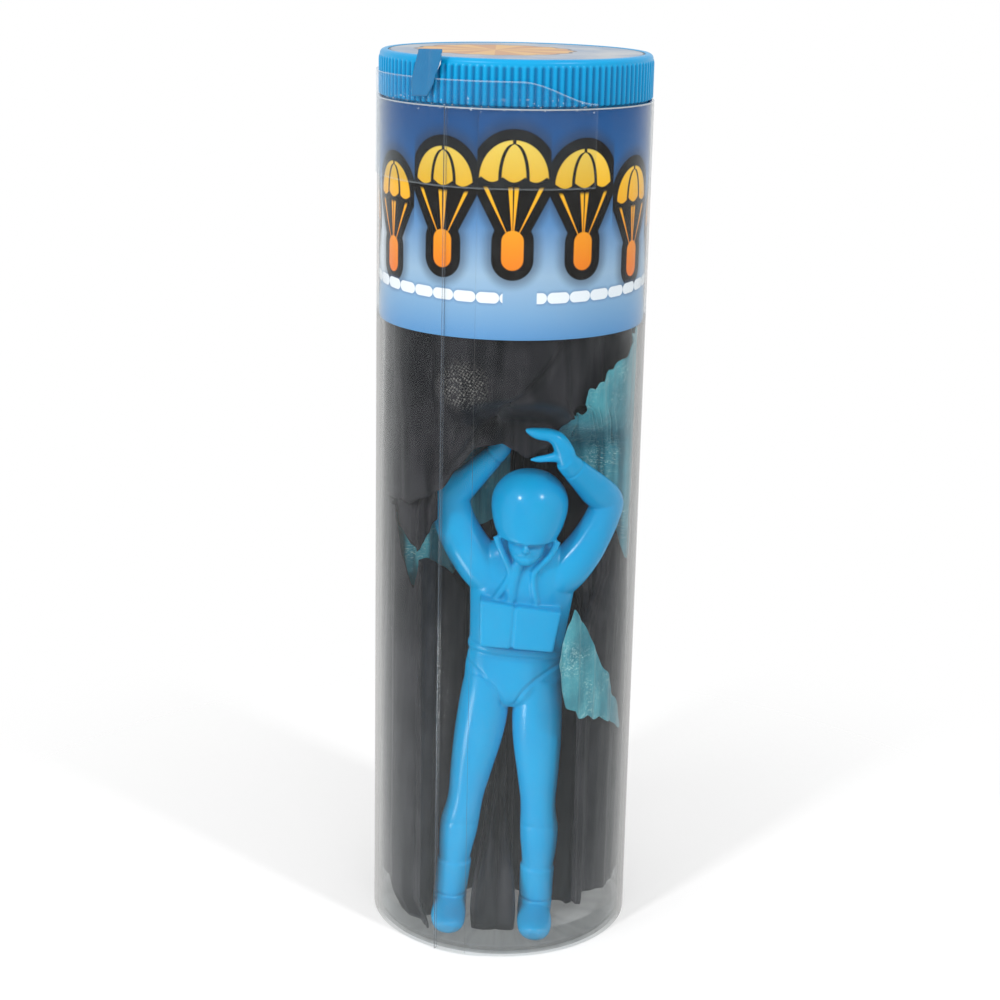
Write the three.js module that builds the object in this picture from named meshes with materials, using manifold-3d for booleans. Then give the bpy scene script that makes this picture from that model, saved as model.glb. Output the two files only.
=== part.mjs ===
// Toy parachute in its clear canister: a moulded skydiver that stands in front of its folded canopy.
// Millimetres, +Z up. The canister stands on z = 0 with its axis on Z, and its front faces -Y.
import * as THREE from "three";
import { mergeVertices } from "three/addons/utils/BufferGeometryUtils.js";
import Module from "manifold-3d";

const wasm = await Module();
wasm.setup();

// Clearances and overruns
const FIT_GAP = 0.3;
const GLUE_GAP = 0.1;
const CUT_OVERRUN = 1;

// Tube: a clear sheet rolled up, with a lap seam at the front left
const TUBE_RADIUS = 26;
const TUBE_HEIGHT = 165.5;
const SHEET_THICKNESS = 0.4;
const LAP_EDGE_ANGLE = -31;
const LAP_WIDTH = 6.4;
const LAP_RAMP = 5.4;
const WALL_STEPS = 96;
const TURN_STEPS = 64;

// Base: a shallow formed cup with a foot ring
const BASE_SHEET = 0.4;
const BASE_FLOOR = 0.4;
const BASE_RIM_HEIGHT = 5;
const BASE_RISE = 1.2;
const FOOT_RING_WIDTH = 17;
const RISE_SLOPE_WIDTH = 3.4;

// Label band inside the tube
const LABEL_THICKNESS = 0.25;
const LABEL_HEIGHT = 41.4;
const LABEL_END_GAP = 3;

// Cap: a ribbed plug
const CAP_HEIGHT = 8.2;
const CAP_INSET = 0.25;
const RIB_COUNT = 116;
const RIB_DEPTH = 0.4;
const RIB_TIP_SHARE = 0.4;
const CAP_RIM_HEIGHT = 1.3;
const CAP_EDGE_RADIUS = 0.9;
const CAP_PLATE = 1.6;
const CAP_RECESS = 0.4;
const CAP_LIP_WIDTH = 1.75;
const SPIGOT_LENGTH = 7;
const SPIGOT_WALL = 1.2;
const SPIGOT_LEAD = 0.5;
const DISC_THICKNESS = 0.25;

// Seal: clear tape over the joint of cap and tube, and its pull tab
const TAPE_WIDTH = 19;
const TAPE_ON_CAP = 4.5;
const TAPE_THICKNESS = 0.12;
const TAPE_TENT = 1.8;
const TAPE_START_ANGLE = -125;
const TAPE_END_ANGLE = 34;
const TAPE_TEAR_ANGLE = 2;
const TAPE_TEAR_DROP = 4;
const TAB_WIDTH = 5.6;
const TAB_LENGTH = 8.4;
const TAB_THICKNESS = 0.2;
const TAB_FOOT_ANGLE = -40.5;
const TAB_LEAN = 6;
const TAB_RISE = 1.3;

// Skydiver: sizes of the moulding, seen from the front
const FIGURE_SIDE_SHIFT = -0.8;
const TOE_GAP = 0.5;
const ELBOW_GAP = 1.3;
const LEG_LENGTH = 46;
const LEG_WIDTH = 7.3;
const LEG_DEPTH = 7;
const STANCE_WIDTH = 17.2;
const FOOT_LENGTH = 14.4;
const FOOT_WIDTH = 6.2;
const FOOT_HEIGHT = 4.9;
const BOOT_HEIGHT = 12;
const BOOT_STEP = 0.25;
const TORSO_LENGTH = 34;
const TORSO_WIDTH = 19.2;
const TORSO_DEPTH = 9.2;
const BELT_WIDTH = 1.7;
const BELT_STEP = 0.25;
const POUCH_WIDTH = 8;
const POUCH_SIDE_SHIFT = -1.1;
const POUCH_HEIGHT = 9.8;
const POUCH_DEPTH = 1.9;
const POUCH_TAPER = 1;
const POUCH_EDGE = 0.4;
const POUCH_GROOVE = 0.5;
const HELMET_WIDTH = 14.6;
const HELMET_DEPTH = 15;
const HELMET_HEIGHT = 12.1;
const HELMET_FORWARD = 1.6;
const BRIM_HEIGHT = 83;
const CHIN_HEIGHT = 5.4;
const NECK_RADIUS = 3.1;
const NOSE_RADIUS = 0.75;
const ELBOW_SPREAD = 29.4;
const ELBOW_HEIGHT = 87.4;
const ELBOW_BACK = 2.2;
const WRIST_SPREAD = 12.4;
const WRIST_HEIGHT = 98.4;
const ARM_WIDTH = 7;
const ARM_DEPTH = 5.8;
const NEAR_HAND_FORWARD = 4.4;
const FAR_HAND_BACK = 2.6;
const HAND_SPAN = 8.6;
const HAND_HEIGHT = 6;
const HAND_RADIUS = 1.75;
const RIDGE_RADIUS = 0.8;

// Eye on the back of the moulding, and the strap through it
const EYE_RADIUS = 3;
const EYE_HOLE_RADIUS = 1.6;
const EYE_WIDTH = 2.6;
const EYE_HEIGHT = 70;
const STRAP_WIDTH = 1.5;
const STRAP_THICKNESS = 0.7;
const STRAP_LOOP_WIDTH = 7.4;
const STRAP_LOOP_HEIGHT = 7.6;
const STRAP_LEAN_BACK = 2.2;

// Folded canopy
const CLOTH_TOP = 158.2;
const PLY_THICKNESS = 0.9;
const PANEL_FOLD = 0.35;
const CORE_FOLD = 0.45;
const CORE_FOLD_COUNT = 13;
const CORE_BEHIND_FIGURE = 4.4;
const PLIES_BEHIND_FIGURE = 2.4;
const CORE_SIDES = 56;
const FOOT_TURN_IN = 3.2;
const SCALLOP_DEPTH = 1.6;

const COLOURS = {
  clear: 0xe6ecee,
  label: 0x4f8cc4,
  cap: 0x1496cf,
  disc: 0xb9c3cc,
  tape: 0xdfe8ee,
  tab: 0x3b86bf,
  figure: 0x2fa3d9,
  black: 0x2c2c2f,
  teal: 0x4fa6b4,
};

const CAP_RADIUS = TUBE_RADIUS - CAP_INSET;
const CAP_BOTTOM = TUBE_HEIGHT + FIT_GAP;
const CAP_TOP = CAP_BOTTOM + CAP_HEIGHT;
const WALL_INNER_RADIUS = TUBE_RADIUS - SHEET_THICKNESS;
const LABEL_OUTER_RADIUS = WALL_INNER_RADIUS - GLUE_GAP;
const LABEL_INNER_RADIUS = LABEL_OUTER_RADIUS - LABEL_THICKNESS;
const SPIGOT_RADIUS = LABEL_INNER_RADIUS - FIT_GAP;
const CLOTH_RADIUS = LABEL_INNER_RADIUS - FIT_GAP;
const FLOOR_TOP = BASE_FLOOR;
const DOME_TOP = BASE_RISE + BASE_FLOOR;
const HEAD_CENTRE_Y = -HELMET_FORWARD;
const HANDS_TOP = WRIST_HEIGHT + HAND_HEIGHT;

const radians = THREE.MathUtils.degToRad;
const smooth = THREE.MathUtils.smoothstep;
const lerp = THREE.MathUtils.lerp;

// A point at an angle from the front, positive towards +X, on a circle round the axis.
function onCircle(radius, degrees) {
  const a = radians(degrees);
  return new THREE.Vector2(radius * Math.sin(a), -radius * Math.cos(a));
}

// A closed geometry as a solid that faces out.
function solid(geometry) {
  const bare = geometry.clone();
  bare.deleteAttribute("normal");
  bare.deleteAttribute("uv");
  const merged = mergeVertices(bare, 1e-4);
  const vertProperties = new Float32Array(merged.attributes.position.array);
  const triVerts = new Uint32Array(merged.index.array);
  const made = new wasm.Manifold(new wasm.Mesh({ numProp: 3, vertProperties, triVerts }));
  if (made.volume() > 0) return made;
  triVerts.reverse();
  return new wasm.Manifold(new wasm.Mesh({ numProp: 3, vertProperties, triVerts }));
}

// A solid's surface as a geometry.
function surfaceOf(body) {
  const mesh = body.getMesh();
  const geometry = new THREE.BufferGeometry();
  geometry.setAttribute("position", new THREE.BufferAttribute(mesh.vertProperties, 3));
  geometry.setIndex(new THREE.BufferAttribute(mesh.triVerts, 1));
  return geometry;
}

function joined(geometries) {
  return geometries.map(solid).reduce((sum, next) => sum.add(next));
}

// A named mesh with its own material.
function piece(name, body, colour, roughness, metalness = 0, opacity = 1) {
  const geometry = surfaceOf(body);
  geometry.computeVertexNormals();
  const material = new THREE.MeshStandardMaterial({ color: colour, roughness, metalness });
  material.transparent = opacity < 1;
  material.opacity = opacity;
  const mesh = new THREE.Mesh(geometry, material);
  mesh.name = name;
  return mesh;
}

// A profile of [radius, height] points turned about Z.
function turned(profile, steps = TURN_STEPS) {
  const points = profile.map(([r, z]) => new THREE.Vector2(r, z));
  return new THREE.LatheGeometry(points, steps).rotateX(Math.PI / 2);
}

// An outline in the XY plane pulled up from z = low to z = high.
function pulledUp(outline, low, high, hole) {
  const shape = new THREE.Shape(outline);
  if (hole) shape.holes.push(new THREE.Path(hole));
  const made = new THREE.ExtrudeGeometry(shape, { depth: high - low, bevelEnabled: false });
  return made.translate(0, 0, low);
}

// Rings of points joined into a closed skin: capped at both ends, or joined end to start.
function skin(rings, closed = false) {
  const sides = rings[0].length;
  const positions = rings.flat().flatMap((p) => p.toArray());
  const index = [];
  const spans = closed ? rings.length : rings.length - 1;
  for (let i = 0; i < spans; i += 1) {
    for (let k = 0; k < sides; k += 1) {
      const a = i * sides + k;
      const b = i * sides + ((k + 1) % sides);
      const c = ((i + 1) % rings.length) * sides + k;
      const d = ((i + 1) % rings.length) * sides + ((k + 1) % sides);
      index.push(a, b, d, a, d, c);
    }
  }
  if (!closed) {
    const last = (rings.length - 1) * sides;
    for (let k = 1; k < sides - 1; k += 1) {
      index.push(0, k + 1, k);
      index.push(last, last + k, last + k + 1);
    }
  }
  const geometry = new THREE.BufferGeometry();
  geometry.setAttribute("position", new THREE.Float32BufferAttribute(positions, 3));
  geometry.setIndex(index);
  return geometry;
}

// A rounded bar through stations { at, wide, deep }, half sizes, with its depth kept along one axis.
function bar(stations, depthAxis, sides, steps, closed = false) {
  const path = new THREE.CatmullRomCurve3(
    stations.map((s) => s.at),
    closed,
    "catmullrom",
  );
  const sizes = new THREE.CatmullRomCurve3(
    stations.map((s) => new THREE.Vector3(s.wide, s.deep, 0)),
    closed,
    "catmullrom",
  );
  const count = closed ? steps : steps + 1;
  const rings = [];
  for (let i = 0; i < count; i += 1) {
    const at = path.getPoint(i / steps);
    const along = path.getTangent(i / steps);
    const across = new THREE.Vector3().crossVectors(along, depthAxis).normalize();
    const through = new THREE.Vector3().crossVectors(across, along).normalize();
    const size = sizes.getPoint(i / steps);
    const ring = [];
    for (let k = 0; k < sides; k += 1) {
      const turn = (2 * Math.PI * k) / sides;
      const side = across.clone().multiplyScalar(size.x * Math.cos(turn));
      ring.push(at.clone().add(side).addScaledVector(through, size.y * Math.sin(turn)));
    }
    rings.push(ring);
  }
  return skin(rings, closed);
}

// Level rings piled up through stations { at, wide, deep }, half sizes, on a smooth curve.
function stack(stations, sides, steps) {
  const path = new THREE.CatmullRomCurve3(
    stations.map((s) => s.at),
    false,
    "catmullrom",
  );
  const sizes = new THREE.CatmullRomCurve3(
    stations.map((s) => new THREE.Vector3(s.wide, s.deep, 0)),
    false,
    "catmullrom",
  );
  const rings = [];
  for (let i = 0; i <= steps; i += 1) {
    const at = path.getPoint(i / steps);
    const size = sizes.getPoint(i / steps);
    const ring = [];
    for (let k = 0; k < sides; k += 1) {
      const turn = (2 * Math.PI * k) / sides;
      ring.push(new THREE.Vector3(size.x * Math.cos(turn), size.y * Math.sin(turn), 0).add(at));
    }
    rings.push(ring);
  }
  return skin(rings);
}

// A sheet that follows the surface point(u, v), half its thickness on each side.
function sheet(point, uSteps, vSteps, thickness) {
  const nudge = 1 / (8 * Math.max(uSteps, vSteps));
  const sideOf = (u, v) => {
    const alongU = point(Math.min(u + nudge, 1), v).sub(point(Math.max(u - nudge, 0), v));
    const alongV = point(u, Math.min(v + nudge, 1)).sub(point(u, Math.max(v - nudge, 0)));
    return alongU.cross(alongV).normalize();
  };
  const rings = [];
  for (let i = 0; i <= uSteps; i += 1) {
    const outer = [];
    const inner = [];
    for (let j = 0; j <= vSteps; j += 1) {
      const at = point(i / uSteps, j / vSteps);
      const side = sideOf(i / uSteps, j / vSteps).multiplyScalar(thickness / 2);
      outer.push(at.clone().add(side));
      inner.unshift(at.clone().sub(side));
    }
    rings.push([...outer, ...inner]);
  }
  return stripEnds(rings);
}

// A skin whose rings are long and thin, with its two ends closed by a strip of quads.
function stripEnds(rings) {
  const geometry = skin(rings, false);
  const sides = rings[0].length;
  const spans = (rings.length - 1) * sides * 6;
  const index = Array.from(geometry.index.array).slice(0, spans);
  const last = (rings.length - 1) * sides;
  for (let j = 0; j < sides / 2 - 1; j += 1) {
    const a = j;
    const b = j + 1;
    const c = sides - 2 - j;
    const d = sides - 1 - j;
    index.push(a, c, b, a, d, c);
    index.push(last + a, last + b, last + c, last + a, last + c, last + d);
  }
  geometry.setIndex(index);
  return geometry;
}

// Canister

// How far along the arc, in millimetres, an angle lies past the lap's outer edge.
function pastLapEdge(degrees) {
  const turn = THREE.MathUtils.euclideanModulo(degrees - LAP_EDGE_ANGLE, 360);
  return radians(turn) * TUBE_RADIUS;
}

// The raised share of the sheet over the lap and down its ramp.
function lapShare(arc) {
  return 1 - smooth(arc, LAP_WIDTH, LAP_WIDTH + LAP_RAMP);
}

function wallOuterRadius(degrees) {
  return TUBE_RADIUS + SHEET_THICKNESS * lapShare(pastLapEdge(degrees));
}

function wallInnerRadius(degrees) {
  const arc = pastLapEdge(degrees);
  const raised = arc > LAP_WIDTH ? lapShare(arc) : 0;
  return WALL_INNER_RADIUS + SHEET_THICKNESS * raised;
}

function tubeWall() {
  const outer = [];
  const inner = [];
  const lapEnd = THREE.MathUtils.radToDeg(LAP_WIDTH / TUBE_RADIUS);
  const rampEnd = THREE.MathUtils.radToDeg((LAP_WIDTH + LAP_RAMP) / TUBE_RADIUS);
  const hair = THREE.MathUtils.radToDeg(SHEET_THICKNESS / TUBE_RADIUS) / 8;
  const turns = [];
  for (let i = 0; i <= 4; i += 1) turns.push(lerp(hair, lapEnd - hair, i / 4));
  for (let i = 0; i <= 4; i += 1) turns.push(lerp(lapEnd + hair, rampEnd, i / 4));
  const rest = WALL_STEPS - turns.length;
  for (let i = 1; i <= rest; i += 1) turns.push(lerp(rampEnd, 360 - hair, i / rest));
  for (const turn of turns) {
    const angle = LAP_EDGE_ANGLE + turn;
    outer.push(onCircle(wallOuterRadius(angle), angle));
    inner.push(onCircle(wallInnerRadius(angle), angle));
  }
  return solid(pulledUp(outer, 0, TUBE_HEIGHT, inner));
}

function tubeBase() {
  const outer = WALL_INNER_RADIUS - GLUE_GAP;
  const inner = outer - BASE_SHEET;
  const ring = outer - FOOT_RING_WIDTH;
  const rise = ring - RISE_SLOPE_WIDTH;
  const profile = [
    [0, BASE_RISE],
    [rise, BASE_RISE],
    [ring, 0],
    [outer, 0],
    [outer, BASE_RIM_HEIGHT],
    [inner, BASE_RIM_HEIGHT],
    [inner, FLOOR_TOP],
    [ring, FLOOR_TOP],
    [rise, DOME_TOP],
    [0, DOME_TOP],
  ];
  return solid(turned(profile));
}

// The paper band, with a gap between its ends at the back.
function labelInsert() {
  const half = THREE.MathUtils.radToDeg(LABEL_END_GAP / 2 / LABEL_OUTER_RADIUS);
  const outer = [];
  const inner = [];
  for (let i = 0; i <= WALL_STEPS; i += 1) {
    const angle = lerp(half, 360 - half, i / WALL_STEPS) - 180;
    outer.push(onCircle(LABEL_OUTER_RADIUS, angle));
    inner.unshift(onCircle(LABEL_INNER_RADIUS, angle));
  }
  const top = TUBE_HEIGHT - GLUE_GAP;
  return solid(pulledUp([...outer, ...inner], top - LABEL_HEIGHT, top));
}

// The ribbed skirt's outline: each rib has a flat tip between two valleys.
function ribOutline() {
  const outline = [];
  const pitch = 360 / RIB_COUNT;
  const valley = CAP_RADIUS - RIB_DEPTH;
  for (let i = 0; i < RIB_COUNT; i += 1) {
    const middle = i * pitch;
    outline.push(onCircle(valley, middle - pitch / 2));
    outline.push(onCircle(CAP_RADIUS, middle - (pitch * RIB_TIP_SHARE) / 2));
    outline.push(onCircle(CAP_RADIUS, middle + (pitch * RIB_TIP_SHARE) / 2));
  }
  return outline;
}

function cap() {
  const ribTop = CAP_TOP - CAP_RIM_HEIGHT;
  const skirt = pulledUp(ribOutline(), CAP_BOTTOM, ribTop);
  const rimRadius = CAP_RADIUS - RIB_DEPTH / 2;
  const recessRadius = CAP_RADIUS - CAP_LIP_WIDTH;
  const hollow = SPIGOT_RADIUS - SPIGOT_WALL;
  const edge = [];
  for (let i = 0; i <= 4; i += 1) {
    const turn = (Math.PI / 2) * (i / 4);
    edge.push([
      rimRadius - CAP_EDGE_RADIUS * (1 - Math.cos(turn)),
      CAP_TOP - CAP_EDGE_RADIUS * (1 - Math.sin(turn)),
    ]);
  }
  const inside = CAP_TOP - CAP_RECESS - CAP_PLATE;
  const profile = [
    [0, inside],
    [hollow, inside],
    [hollow, CAP_BOTTOM - SPIGOT_LENGTH],
    [SPIGOT_RADIUS - SPIGOT_LEAD, CAP_BOTTOM - SPIGOT_LENGTH],
    [SPIGOT_RADIUS, CAP_BOTTOM - SPIGOT_LENGTH + SPIGOT_LEAD],
    [SPIGOT_RADIUS, ribTop],
    [rimRadius, ribTop],
    ...edge,
    [recessRadius, CAP_TOP],
    [recessRadius, CAP_TOP - CAP_RECESS],
    [0, CAP_TOP - CAP_RECESS],
  ];
  const bore = new THREE.CylinderGeometry(hollow, hollow, inside - CAP_BOTTOM + CUT_OVERRUN, TURN_STEPS);
  bore.rotateX(Math.PI / 2).translate(0, 0, (inside + CAP_BOTTOM - CUT_OVERRUN) / 2);
  return solid(skirt).subtract(solid(bore)).add(solid(turned(profile)));
}

function capDisc() {
  const radius = CAP_RADIUS - CAP_LIP_WIDTH - GLUE_GAP;
  const low = CAP_TOP - CAP_RECESS + GLUE_GAP / 2;
  const disc = new THREE.CylinderGeometry(radius, radius, DISC_THICKNESS, TURN_STEPS);
  return solid(disc.rotateX(Math.PI / 2).translate(0, 0, low + DISC_THICKNESS / 2));
}

// The tape's middle surface lies over the tube and the cap's ribs, and tents over the lap's edge.
function tapeRadius(degrees) {
  const before = radians(THREE.MathUtils.euclideanModulo(LAP_EDGE_ANGLE - degrees, 360)) * TUBE_RADIUS;
  const tent = SHEET_THICKNESS * (1 - smooth(before, TAPE_TENT, 2 * TAPE_TENT));
  const wall = Math.max(wallOuterRadius(degrees), TUBE_RADIUS + tent);
  return wall + GLUE_GAP + TAPE_THICKNESS / 2;
}

function sealTape() {
  const top = CAP_BOTTOM + TAPE_ON_CAP;
  const low = top - TAPE_WIDTH;
  const point = (u, v) => {
    const angle = lerp(TAPE_START_ANGLE, TAPE_END_ANGLE, u);
    const torn = TAPE_TEAR_DROP * smooth(angle, TAPE_TEAR_ANGLE, TAPE_END_ANGLE);
    const at = onCircle(tapeRadius(angle), angle);
    return new THREE.Vector3(at.x, at.y, lerp(low, top - torn, v));
  };
  return solid(sheet(point, 48, 1, TAPE_THICKNESS));
}

// The tab stands on the tape's outside and leans to the right.
function sealTab() {
  const rise = CAP_TOP + TAB_RISE - TAB_LENGTH;
  const clear = TAPE_THICKNESS / 2 + 2 * GLUE_GAP + TAB_THICKNESS / 2;
  const spread = THREE.MathUtils.radToDeg(TAB_WIDTH / TUBE_RADIUS);
  const point = (u, v) => {
    const angle = TAB_FOOT_ANGLE + TAB_LEAN * v + spread * (u - 1 / 2);
    const at = onCircle(tapeRadius(angle) + clear, angle);
    return new THREE.Vector3(at.x, at.y, rise + TAB_LENGTH * v);
  };
  return solid(sheet(point, 6, 3, TAB_THICKNESS));
}

// Skydiver, in its own frame: soles at z = 0, back towards +Y, mirrored about x = 0

const DEPTH_AXIS = new THREE.Vector3(0, 1, 0);
const HEIGHT_AXIS = new THREE.Vector3(0, 0, 1);

// Rows of [across, up, wide, deep] as shares of the leg's spread, length, half width and half depth.
const LEG_SHARES = [
  [1, 0.04, 0.84, 0.88],
  [0.99, 0.22, 0.9, 0.92],
  [0.99, 0.37, 0.98, 1.02],
  [0.87, 0.53, 0.98, 1],
  [0.77, 0.7, 1.18, 1.12],
  [0.69, 0.84, 1.32, 1.2],
  [0.62, 1, 1.38, 1.24],
  [0.58, 1.13, 1.3, 1.18],
];

// [up, wide, deep] as shares of the torso's length, half width and half depth.
const BELT_SHARES = [0.38, 0.98, 0.94];
const CHEST_SHARES = [0.71, 1.05, 1.06];
const SHOULDER_SHARES = [0.84, 1.08, 1];
const TORSO_SHARES = [
  [0, 0.3, 0.6],
  [0.1, 0.86, 0.9],
  [0.18, 1.05, 0.98],
  BELT_SHARES,
  [0.55, 1, 1],
  CHEST_SHARES,
  SHOULDER_SHARES,
  [0.93, 0.94, 0.84],
  [1.01, 0.56, 0.6],
];

// Rows of [across, back, up, wide, deep]: shares of the elbow's place above the torso's middle, and
// of the arm's half sizes.
const UPPER_ARM_SHARES = [
  [0.34, 0, -0.2, 1.3, 1.3],
  [0.57, 0.1, 0.1, 1.36, 1.3],
  [0.72, 0.3, 0.28, 1.24, 1.22],
  [0.86, 0.6, 0.52, 1.06, 1.08],
  [0.98, 0.9, 0.8, 0.94, 1],
  [1, 1, 1.08, 0.96, 0.98],
];

// Rows of [from elbow to wrist, wide, deep] as shares.
const FOREARM_SHARES = [
  [0.32, 0.84, 0.9],
  [0.62, 0.7, 0.78],
  [0.88, 0.56, 0.64],
  [1.04, 0.48, 0.54],
];

// Rows of [across, up, radius] from the wrist: shares of the hand's span, height and radius.
const FINGER_SHARES = [
  [-0.05, -0.15, 0.9],
  [0.13, 0.34, 0.95],
  [0.26, 0.64, 0.9],
  [0.46, 0.79, 0.8],
  [0.72, 0.8, 0.66],
  [1, 0.88, 0.16],
];
const THUMB_SHARES = [
  [0.04, 0.02, 0.66],
  [0.25, 0.06, 0.54],
  [0.44, 0.03, 0.42],
  [0.63, -0.03, 0.3],
  [0.84, -0.08, 0.1],
];

// Rows of [up, forward, wide, deep]: shares of the helmet's height and half sizes.
const HELMET_SHARES = [
  [0, 0.14, 0.74, 0.86],
  [0.03, 0.14, 0.78, 0.9],
  [0.14, 0.1, 0.87, 0.93],
  [0.3, 0.03, 0.97, 0.98],
  [0.46, 0, 1, 1],
  [0.62, 0, 0.955, 0.955],
  [0.76, 0, 0.83, 0.83],
  [0.88, 0, 0.63, 0.63],
  [0.96, 0, 0.38, 0.38],
  [1, 0, 0.1, 0.1],
];

// Rows of [up, forward, wide, deep] for the face: shares of the chin's height and the helmet's half
// sizes.
const FACE_SHARES = [
  [-1, 0.44, 0.14, 0.2],
  [-0.8, 0.3, 0.32, 0.46],
  [-0.4, 0.2, 0.46, 0.66],
  [0, 0.14, 0.54, 0.74],
  [0.4, 0.12, 0.56, 0.74],
];
const NOSE_UP_SHARE = -0.34;
const NOSE_FORWARD_SHARE = 0.9;

// Rows of [across, up] for the harness ridges: shares of the torso's half width and length.
const RIDGE_SHARES = [
  [0.64, 1.03],
  [0.46, 0.96],
  [0.28, 0.88],
  [0.22, 0.83],
  [0.3, 0.77],
  [0.42, 0.7],
];
const COLLAR_SHARES = [
  [0, 0.98],
  [0, 0.86],
  [0, 0.7],
];

// Rows of [forward, up, wide, tall] for the foot: shares of its length, height and half width.
const FOOT_SHARES = [
  [0, 0.42, 0.3, 0.34],
  [0.06, 0.46, 0.72, 0.42],
  [0.3, 0.5, 0.94, 0.5],
  [0.62, 0.4, 1, 0.4],
  [0.84, 0.34, 0.96, 0.34],
  [0.96, 0.3, 0.66, 0.28],
  [1, 0.28, 0.3, 0.18],
];

function leg(side, extra) {
  const stations = LEG_SHARES.map(([across, up, wide, deep]) => ({
    at: new THREE.Vector3((side * across * STANCE_WIDTH) / 2, 0, up * LEG_LENGTH),
    wide: (wide * LEG_WIDTH) / 2 + extra,
    deep: (deep * LEG_DEPTH) / 2 + extra,
  }));
  return stack(stations, 14, 11);
}

// How far the heel lies behind the leg's axis, without the boot's step.
function heelReach() {
  const [, , , deep] = LEG_SHARES[0];
  return (LEG_DEPTH / 2) * deep;
}

// The boot: a shaft a step wider than the leg, and a foot with a round toe and a flat sole.
function boot(side, extra) {
  const across = (side * STANCE_WIDTH) / 2;
  const grow = BOOT_STEP + extra;
  const [ankle, cuff] = LEG_SHARES;
  const shaftRow = (up, row) => ({
    at: new THREE.Vector3(across * row[0], 0, up),
    wide: (row[2] * LEG_WIDTH) / 2 + grow,
    deep: (row[3] * LEG_DEPTH) / 2 + grow,
  });
  const shaft = stack(
    [shaftRow(FOOT_HEIGHT / 2, ankle), shaftRow(BOOT_HEIGHT / 2, ankle), shaftRow(BOOT_HEIGHT, cuff)],
    14,
    3,
  );
  const heel = heelReach() + grow;
  const foot = bar(
    FOOT_SHARES.map(([forward, up, wide, tall]) => ({
      at: new THREE.Vector3(across, heel - forward * FOOT_LENGTH, up * FOOT_HEIGHT),
      wide: (wide * FOOT_WIDTH) / 2 + extra,
      deep: tall * FOOT_HEIGHT + extra,
    })),
    HEIGHT_AXIS,
    12,
    9,
  );
  const ground = new THREE.BoxGeometry(2 * FOOT_WIDTH, 3 * FOOT_LENGTH, FOOT_HEIGHT);
  ground.translate(across, 0, -FOOT_HEIGHT / 2 - extra);
  return solid(shaft).add(solid(foot)).subtract(solid(ground));
}

function torso(extra) {
  const stations = TORSO_SHARES.map(([up, wide, deep]) => ({
    at: new THREE.Vector3(0, 0, LEG_LENGTH + up * TORSO_LENGTH),
    wide: (wide * TORSO_WIDTH) / 2 + extra,
    deep: (deep * TORSO_DEPTH) / 2 + extra,
  }));
  return stack(stations, 20, 13);
}

function belt(extra) {
  const [up, wide, deep] = BELT_SHARES;
  const middle = LEG_LENGTH + up * TORSO_LENGTH;
  const stations = [-1, 0, 1].map((share) => ({
    at: new THREE.Vector3(0, 0, middle + (share * BELT_WIDTH) / 2),
    wide: (wide * TORSO_WIDTH) / 2 + BELT_STEP + extra,
    deep: (deep * TORSO_DEPTH) / 2 + BELT_STEP + extra,
  }));
  return stack(stations, 20, 2);
}

// A chest pouch: a block with soft edges that narrows towards its outer foot. Both shift to one side,
// and the one on that side is as much narrower.
function pouch(side, extra) {
  const top = LEG_LENGTH + CHEST_SHARES[0] * TORSO_LENGTH;
  const width = side < 0 ? POUCH_WIDTH + POUCH_SIDE_SHIFT : POUCH_WIDTH;
  const inner = POUCH_GROOVE / 2 + POUCH_EDGE;
  const outer = POUCH_GROOVE / 2 + width - POUCH_EDGE;
  const low = top - POUCH_HEIGHT + 2 * POUCH_EDGE;
  const outline = [
    new THREE.Vector2(side * inner, low),
    new THREE.Vector2(side * (outer - POUCH_TAPER), low),
    new THREE.Vector2(side * outer, top),
    new THREE.Vector2(side * inner, top),
  ];
  const made = new THREE.ExtrudeGeometry(new THREE.Shape(outline), {
    depth: TORSO_DEPTH / 2,
    bevelThickness: POUCH_EDGE,
    bevelSize: POUCH_EDGE + extra,
    bevelSegments: 2,
  });
  return made.rotateX(Math.PI / 2).translate(POUCH_SIDE_SHIFT, -POUCH_DEPTH - extra, 0);
}

// A piled form of the head: rows of [up, forward, wide, deep] above or below the brim.
function headForm(rows, height, sides, steps, extra) {
  const stations = rows.map(([up, forward, wide, deep]) => ({
    at: new THREE.Vector3(0, HEAD_CENTRE_Y - (forward * HELMET_DEPTH) / 2, BRIM_HEIGHT + up * height),
    wide: (wide * HELMET_WIDTH) / 2 + extra,
    deep: (deep * HELMET_DEPTH) / 2 + extra,
  }));
  return stack(stations, sides, steps);
}

function nose(extra) {
  const ball = new THREE.SphereGeometry(NOSE_RADIUS + extra, 8, 6);
  const front = HEAD_CENTRE_Y - (NOSE_FORWARD_SHARE * HELMET_DEPTH) / 2;
  return ball.translate(0, front, BRIM_HEIGHT + NOSE_UP_SHARE * CHIN_HEIGHT);
}

function neck(extra) {
  const low = LEG_LENGTH + TORSO_LENGTH - 2 * NECK_RADIUS;
  const length = BRIM_HEIGHT + NECK_RADIUS - low;
  const post = new THREE.CylinderGeometry(NECK_RADIUS + extra, NECK_RADIUS + extra, length, 14);
  return post.rotateX(Math.PI / 2).translate(0, 0, low + length / 2);
}

// The place of a wrist. The hand on the right is in front of the cloth, and the other behind it.
function wristOf(side) {
  const depth = side > 0 ? -NEAR_HAND_FORWARD : FAR_HAND_BACK;
  return new THREE.Vector3((side * WRIST_SPREAD) / 2, depth, WRIST_HEIGHT);
}

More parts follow.
